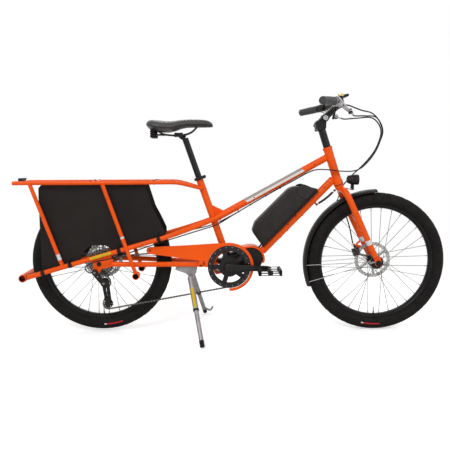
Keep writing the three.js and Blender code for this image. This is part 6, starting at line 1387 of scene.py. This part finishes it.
def crank_arm(side):
    """The arm of one side with its pedal axle and the cap of the bottom bracket."""
    way, out = P(-side * cos(1.5 * DEG), 0, side * sin(1.5 * DEG)), Y * side
    up = cross(way, Y)
    middle = BB + out * CRANK_Y
    loft([oval(middle + way * d, out, wide, up, high, 0.6, 28) for d, wide, high in ARM], METAL)
    groove = [BB + way * d + out * 86.7 for d in (30, 60, 100, 140)]
    tube(groove, [3.2, 2.6, 2.2, 1.4], "black_gloss", 10, 0.6)
    eyes[side] = eye = BB + way * CRANK
    rod(eye + out * 75, eye + out * 182, 4.7, "steel", sides=20)
    cap([(8.6, 0), (9.2, 0.5), (8.6, 1.1)], eye + out * 86.8, "steel", out, 28)
    prof = [(12, 0), (13.2, 0.4), (13.2, 1), (8, 1.5), (7.6, 0.6)]
    cap(prof, BB + out * 86.9, "black_gloss", out, 36)


holes = [arm_hole(*ring_at, 45, 70, (k * 72 + 45) * DEG, (k * 72 + 99) * DEG) for k in range(5)]
ring = toothed(*ring_at, RING_TEETH, RING - 3.9, RING + 1.2)
plate(ring, (-55.4, -52.8), "dark_metal", [circle(*ring_at, 72, 60)], 0.3)
hole = [circle(*ring_at, 71, 80)]
plate(circle(*ring_at, 94.4, 120), (-60.9, -57.9), "black_gloss", hole, 1.1)
holes.append(circle(*ring_at, 13, 30))
plate(circle(*ring_at, 76, 90), (-57.9, -52.4), METAL, holes, 0.8)
for k in range(20):
    rivet(BB + polar(86, (k * 18 + 9) * DEG, -60.8), -Y, 1.9, 0.6, "steel")
for k in range(5):
    t = (k * 72 + 36) * DEG
    beam(BB + polar(18, t, -58.6), BB + polar(76, t, -58.6), 21, 4.6, METAL, 1.6)
    bolt(BB + polar(75, t, -60.6), -Y, 4.2, 1.2, "dark_metal")
prof = [(42, 0), (44, 1.4), (44, 5), (42, 7.6), (24, 9), (20, 14), (19.6, 21)]
cap(prof, BB - Y * 53, PLASTIC, -Y, 60)
cap([(12, 0), (12, 30)], BB - Y * 52, "steel", Y, 32)
crank_arm(-1)
build("crank_right", "cranks", "black_metal")
crank_arm(1)
build("crank_left", "cranks", "black_metal")

NEAR, FAR = 91.2, 182.8  # both ends of a pedal, from the middle of the bicycle
for side, word in SIDES.items():
    eye = eyes[side]
    x, z = eye[0], eye[2]
    holes = [
        [(x + a, z + c), (x + b, z + c), (x + b, z + d), (x + a, z + d)]
        for a, b in ((-37, -10.5), (10.5, 37))
        for c, d in ((-8.4, -2.2), (2.2, 8.4))
    ]
    rect = [(-49, -8.4), (-46, -11), (46, -11), (49, -8.4), (49, 8.4), (46, 11)]
    rect = [(x + a, z + c) for a, c in (*rect, (-46, 11), (-49, 8.4))]
    for y in (NEAR, FAR - 6):
        plate(rect, span(side, y, y + 6), PLASTIC, holes, 0.9)
    mid = side * (NEAR + FAR) / 2
    for k in (-1, 1):
        block(P(x + k * 44.5, mid, z), (9, 91.6, 26), PLASTIC, 1.8, segments=3)
        for j in range(6):
            for h in (-1, 1):
                at = P(x + k * 44.5, mid + (j - 2.5) * 14, z + h * 12.1)
                turn([(AXIS, 0), (2.2, 0), (1.6, 0.85), (AXIS, 0.9)], at, "dark_metal", Z * h, 10)
        block(P(x + k * 48.4, mid, z), (1.1, 60, 12), "amber", 0.4)
    drum(P(x, side * NEAR, z), P(x, side * FAR, z), 9.4, PLASTIC, 2, 32)
    plug = [(AXIS, 0), (5, 0), (5.6, 0.4), (AXIS, 0.7)]
    turn(plug, P(x, side * FAR, z), "dark_metal", Y * side, 24)
    build("pedal_" + word, "pedal_" + word, "black_metal")


def chain_path():
    """Points of the chain's line, and where among them each wheel begins."""
    wheels = [(*ring_at, RING, -1), (*tension_at, COG, -1), (*guide_at, COG, 1), (*cog_at, COG, -1)]
    travel = []
    for (x, z, r, k), (x2, z2, r2, k2) in zip(wheels, wheels[1:] + wheels[:1]):
        lean = asin((k2 * r2 - k * r) / hypot(x2 - x, z2 - z))
        travel.append(atan2(z2 - z, x2 - x) - lean)
    out, marks = [], []
    for i, (x, z, r, k) in enumerate(wheels):
        marks.append(len(out))
        start = travel[i - 1]
        bend = (travel[i] - start) % TURN - (0 if k > 0 else TURN)
        for t in linspace(start, start + bend, max(2, ceil(abs(bend) / (4 * DEG))) + 1):
            out.append((x + k * r * sin(t), z - k * r * cos(t)))
    return np.array(out), marks


def link(a, b, outer):
    """One link from pin to pin: two side plates, roller and pin."""
    way, long = unit(b - a), norm(b - a)
    up = cross(way, Y)
    outline = arc(0, 0, 3.7, pi / 2, 1.5 * pi, 6) + [(long / 2, -2.3)]
    outline += arc(long, 0, 3.7, -pi / 2, pi / 2, 6) + [(long / 2, 2.3)]
    for side in SIDES:
        ys = (2.05, 2.95) if outer else (1.25, 2.0)
        rings = [[a + way * u + up * v + Y * side * y for u, v in outline] for y in ys]
        loft(rings, "chain")
    rod(a - Y * 1.6, a + Y * 1.6, 2.9, "chain", sides=10, edge=0)
    rod(a - Y * 3.0, a + Y * 3.0, 1.3, "silver", sides=8, edge=0)


path, marks = chain_path()
loop = np.vstack([path, path[:1]])
walk = np.concatenate([[0], np.cumsum(np.hypot(*np.diff(loop, axis=0).T))])
count = round(walk[-1] / PITCH / 2) * 2
spots = linspace(0, walk[-1], count, endpoint=False)
xs, zs = (np.interp(spots, walk, loop[:, k]) for k in (0, 1))
pins = [P(x, 0, z) + CHAIN for x, z in zip(xs, zs)]
part = np.searchsorted([walk[marks[1]] - 6, walk[marks[2]] - 6], spots, side="right")


def links(name, which, body, *nodes):
    """The piece with one part of the chain: 0 lower run, 1 on the cage, 2 the rest."""
    for k in np.flatnonzero(part == which):
        link(pins[k], pins[(k + 1) % count], k % 2)
    return make(name, body, "chain_steel", *nodes)


links("chain_links", 2, "frame", "chain")
links("chain_cage_links", 1, "derailleur_cage")
chain = links("chain_lower_links", 0, None)
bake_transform(chain)

face, pitch = -50.7, 25.7 / 6
bore = circle(*cog_at, 17.7, 30)
small = (COG - 5.6, COG - 3.15)  # root and tip of the teeth inside the chain, short of its links
plate(toothed(*cog_at, COG_TEETH, *small), (-55, -53), "cog", [bore], 0.2)
for i, (teeth, r) in enumerate(zip((15, 18, 22, 27, 32, 36), (0.42, 0.51, 0.62, 0.75, 0.88, 1))):
    r, y = 73 * r, face + pitch * i
    holes = [bore]
    if r > 50:
        for j in range(6):
            holes.append(arm_hole(*cog_at, 22, r - 10, (j * 60 + 8) * DEG, (j * 60 + 50) * DEG))
    plate(toothed(*cog_at, teeth, r - 5.4, r - 0.1), (y + 0.1, y + 1.7), "cog", holes, 0.2)
    if r < 72:
        # The spacers between the cogs are near-black painted shade, for the shade in the gaps
        spacer = [(22, y + 1.7), (r - 7, y + 1.7), (r - 7, y + 4.3), (22, y + 4.3)]
        sleeve(spacer, REAR, "hollow", steps=40)
prof = [(17.65, -58), (20.4, -58), (20.6, -57), (19.4, -55), (19.4, -51), (22, -50)]
sleeve([*prof, (22, -26), (17.65, -25.2)], REAR, "dark_metal", steps=40)
make("cassette_cogs", "cassette", "chain_steel", "cassette")

# Derailleur, cage and pulleys
MOUNT = (-630, 284)
disc(*MOUNT, 11.8, -91.8, -75.4, METAL, 2.4, 36)
disc(*guide_at, 11.8, -91.8, -67.6, METAL, 2.4, 36)
disc(*guide_at, 16.5, -84, -68, METAL, 3, 40)
disc(*MOUNT, 13.5, -86, -76, PLASTIC, 2.4, 36)
a, b = (P(x, -86.6, z) for x, z in (MOUNT, guide_at))
for at in (a, b):
    bolt(at - Y * 4.6, -Y, 5, 0.8, "steel")
way = unit(b - a)
up = cross(way, Y)
body = [(-10, 3.6, 6), (-7, 4.6, 10.4), (6, 4.9, 12.4), (28, 4.8, 12.8), (48, 4.9, 12)]
body += [(66, 4.6, 11), (71, 3.4, 7)]
loft([oval(a + way * d, Y, wide, up, high, 0.6, 24) for d, wide, high in body], PLASTIC)
u, w = across(Y)
spring = []
for k in range(37):
    t = k * pi / 6
    spring.append(b + Y * (7.6 + 8 * k / 36) + 10.4 * (cos(t) * u + sin(t) * w))
tube(spring, 1.1, "dark_metal", 8)
rod(P(-641.6, -87, 284), P(-634, -87, 284), 3.6, METAL, sides=16)
bolt(mix(a, b, 0.35) - Y * 4.2, -Y, 2.6, 0.8, "silver")
build("derailleur", "frame", "dark_metal")


def pulley(x, z):
    """A toothed pulley with six holes and its bearing."""
    holes = [circle(x, z, 4.3, 16)]
    holes += [circle(u, w, 3.0, 14) for u, w in circle(x, z, 11.5, 6)]
    plate(toothed(x, z, COG_TEETH, *small), (-55, -53), PLASTIC, holes, 0.3)
    sleeve([(4.3, -2), (6.4, -2), (6.4, 2), (4.3, 2)], P(x, 0, z) + CHAIN, "steel", steps=24)


for y in (-65.6, -44.9):
    slot = capsule((-588.5, 208), 3.4, (-583.5, 168), 2.6, 12)
    outline = capsule(guide_at, 14.6, tension_at, 11.6)
    plate(outline, (y, y + 2.3), METAL, [slot], 0.6)
for x, z in (guide_at, tension_at):
    rod(P(x, -64, z), P(x, -44, z), 3.9, "steel", sides=16)
    bolt(P(x, -65.4, z), -Y, 4.6, 1.2, "dark_metal")
pulley(*guide_at)
build("derailleur_cage", "derailleur_cage", "dark_metal")
pulley(*tension_at)
build("pulley_lower", "pulley", "black_metal")


# Battery: a long case with rounded sides, a seam, a hand recess and its lock
def rounded(points, radii):
    """A closed outline whose corners are rounded, each by its own radius."""
    points = np.array(points, float)
    out = []
    for a, b, c, radius in zip(np.roll(points, 1, 0), points, np.roll(points, -1, 0), radii):
        r = min(radius, norm(a - b) * 0.45, norm(c - b) * 0.45)
        p, q = b + unit(a - b) * r, b + unit(c - b) * r
        out += [tuple(mix(mix(p, b, t), mix(b, q, t), t)) for t in linspace(0, 1, 6)]
    return out


CASE = [(0, 0), (0.045, 0.24), (0.21, 0.97), (0.85, 1), (0.96, 0.81), (1, 0)]
LONG, HIGH = 353, 97
rings = []
for y, inset in ((0.8, 0.9), (1.2, 0.1), (31, 0.2), (36.5, 1.4), (41, 4.4), (44.2, 9), (44.9, 14)):
    sized = [
        (271.5 + (a - 0.5) * (LONG - 2 * inset), 68.5 + (b - 0.5) * (HIGH - 2 * inset))
        for a, b in CASE
    ]
    loop = rounded(sized, (11, 11, 26, 11, 11, 11))
    rings.append([on_down(a, b, y) for a, b in loop])
    rings.insert(0, [on_down(a, b, -y) for a, b in loop])
loft(rings, "battery")
recess = [(108, 30), (128, 84), (150, 96), (172, 84), (178, 56), (166, 26)]
recess = [on_down(a, b) for a, b in rounded(recess, [14] * 6)]
for side in SIDES:
    plate(flat(recess), span(side, 43.4, 45), "battery_lid", edge=0.7)
    # Painted shade: a near-black line round the edge of the hand recess
    tube([p + Y * side * 44.4 for p in recess], 0.9, "hollow", 8, loop=True)
for side in SIDES:
    plug = [(AXIS, 0), (6, 0), (6.6, 0.3), (AXIS, 0.35)]
    turn(plug, on_down(400, 60, side * 44.6), "battery_lid", Y * side, 28)
cap([(6.4, 0), (6.4, 0.6), (2, 0.6), (1.8, 0.1)], on_down(420, 66, -41.2), "silver", -Y, 28)
make("battery_case", "battery", "battery_case", "battery", angle=40)

# Centre stand
HINGE = P(-216, 0, 250)
outline = [(-285, 284), (-282, 300), (-266, 306), (-206, 306), (-190, 300), (-190, 272)]
outline += [(-200, 262), HINGE[::2], (-240, 268)]
plate(outline, (-39.6, -31), "cast", edge=2)
plate(outline, (31, 39.6), "cast", edge=2)
outline = [(-283, 286), (-281, 305), (-192, 305), (-192, 284), (-216, 276), (-250, 284)]
plate(outline, (-32, 32), "cast", edge=2)
for y in (-33, -11, 11, 33):
    pin(HINGE + Y * y, 6, 13.8, "cast", 1.4, 40)
prof = [(7.4, -39.8), (13.4, -39.8), (14, -38.6), (14, 38.6), (13.4, 39.8), (7.4, 39.8)]
sleeve(prof, HINGE, "cast", steps=44)
for x in (-262, -226):
    rivet(P(x, 0, 284.6), -Z, 5.4, 5, "steel")
for x in (-268, -240):
    for side in SIDES:
        bolt(P(x, side * 39.2, 292), Y * side, 4, 2.6, "steel")
make("stand_bracket_cast", "frame", "cast_silver", "stand_bracket")

rod(HINGE - Y * 62, HINGE + Y * 62, 6.9, "steel")
for side in SIDES:
    top, foot = HINGE + Y * side * 62, P(-160, side * 265, 5)
    way, half = unit(foot - top), mix(top, foot, 0.5)
    disc(*HINGE[::2], 13.8, *span(side, 40.4, 66.8), "cast", 2)
    bolt(HINGE + Y * side * 66.4, Y * side, 5, 1.4, "steel")
    rod(top - way * 2, half, 12.8, "cast", 11.4, 32, 2)
    rod(mix(top, foot, 0.49), mix(top, foot, 0.945), 9.8, "cast", sides=32)
    prof = [(12.9, 0), (13, 1), (13, 8), (12.2, 9)]
    cap(prof, mix(top, foot, 0.46), PLASTIC, way, 32)
    rod(mix(top, foot, 0.9), foot - way * 4.5, 10.3, "rubber", 9.8, 28, 1)
    if side < 0:
        # Yellow sticker on the near leg
        out, aside = unit(way * np.dot(Y, way) - Y), unit(cross(way, Y))
        turns = linspace(-0.55, 0.55, 12)
        rings = []
        for share in linspace(0.16, 0.44, 6):
            r = 12.8 - 2.8 * share
            edge = [(r + 0.35, t) for t in turns] + [(r - 0.6, t) for t in turns[::-1]]
            c = mix(top, foot, share)
            rings.append([c + q * (cos(t) * out + sin(t) * aside) for q, t in edge])
        loft(rings, "yellow")
    else:
        # Foot lever on the far leg
        line = [mix(top, foot, 0.84), mix(top, foot, 0.86)]
        line = curve([*line, foot + P(26, 0, 13), foot + P(38, -1, 30.5)])
        tube(line, linspace(6.2, 4.4, len(line)), "cast", 20, 1.5)
build("stand_legs", "stand", "cast_silver")
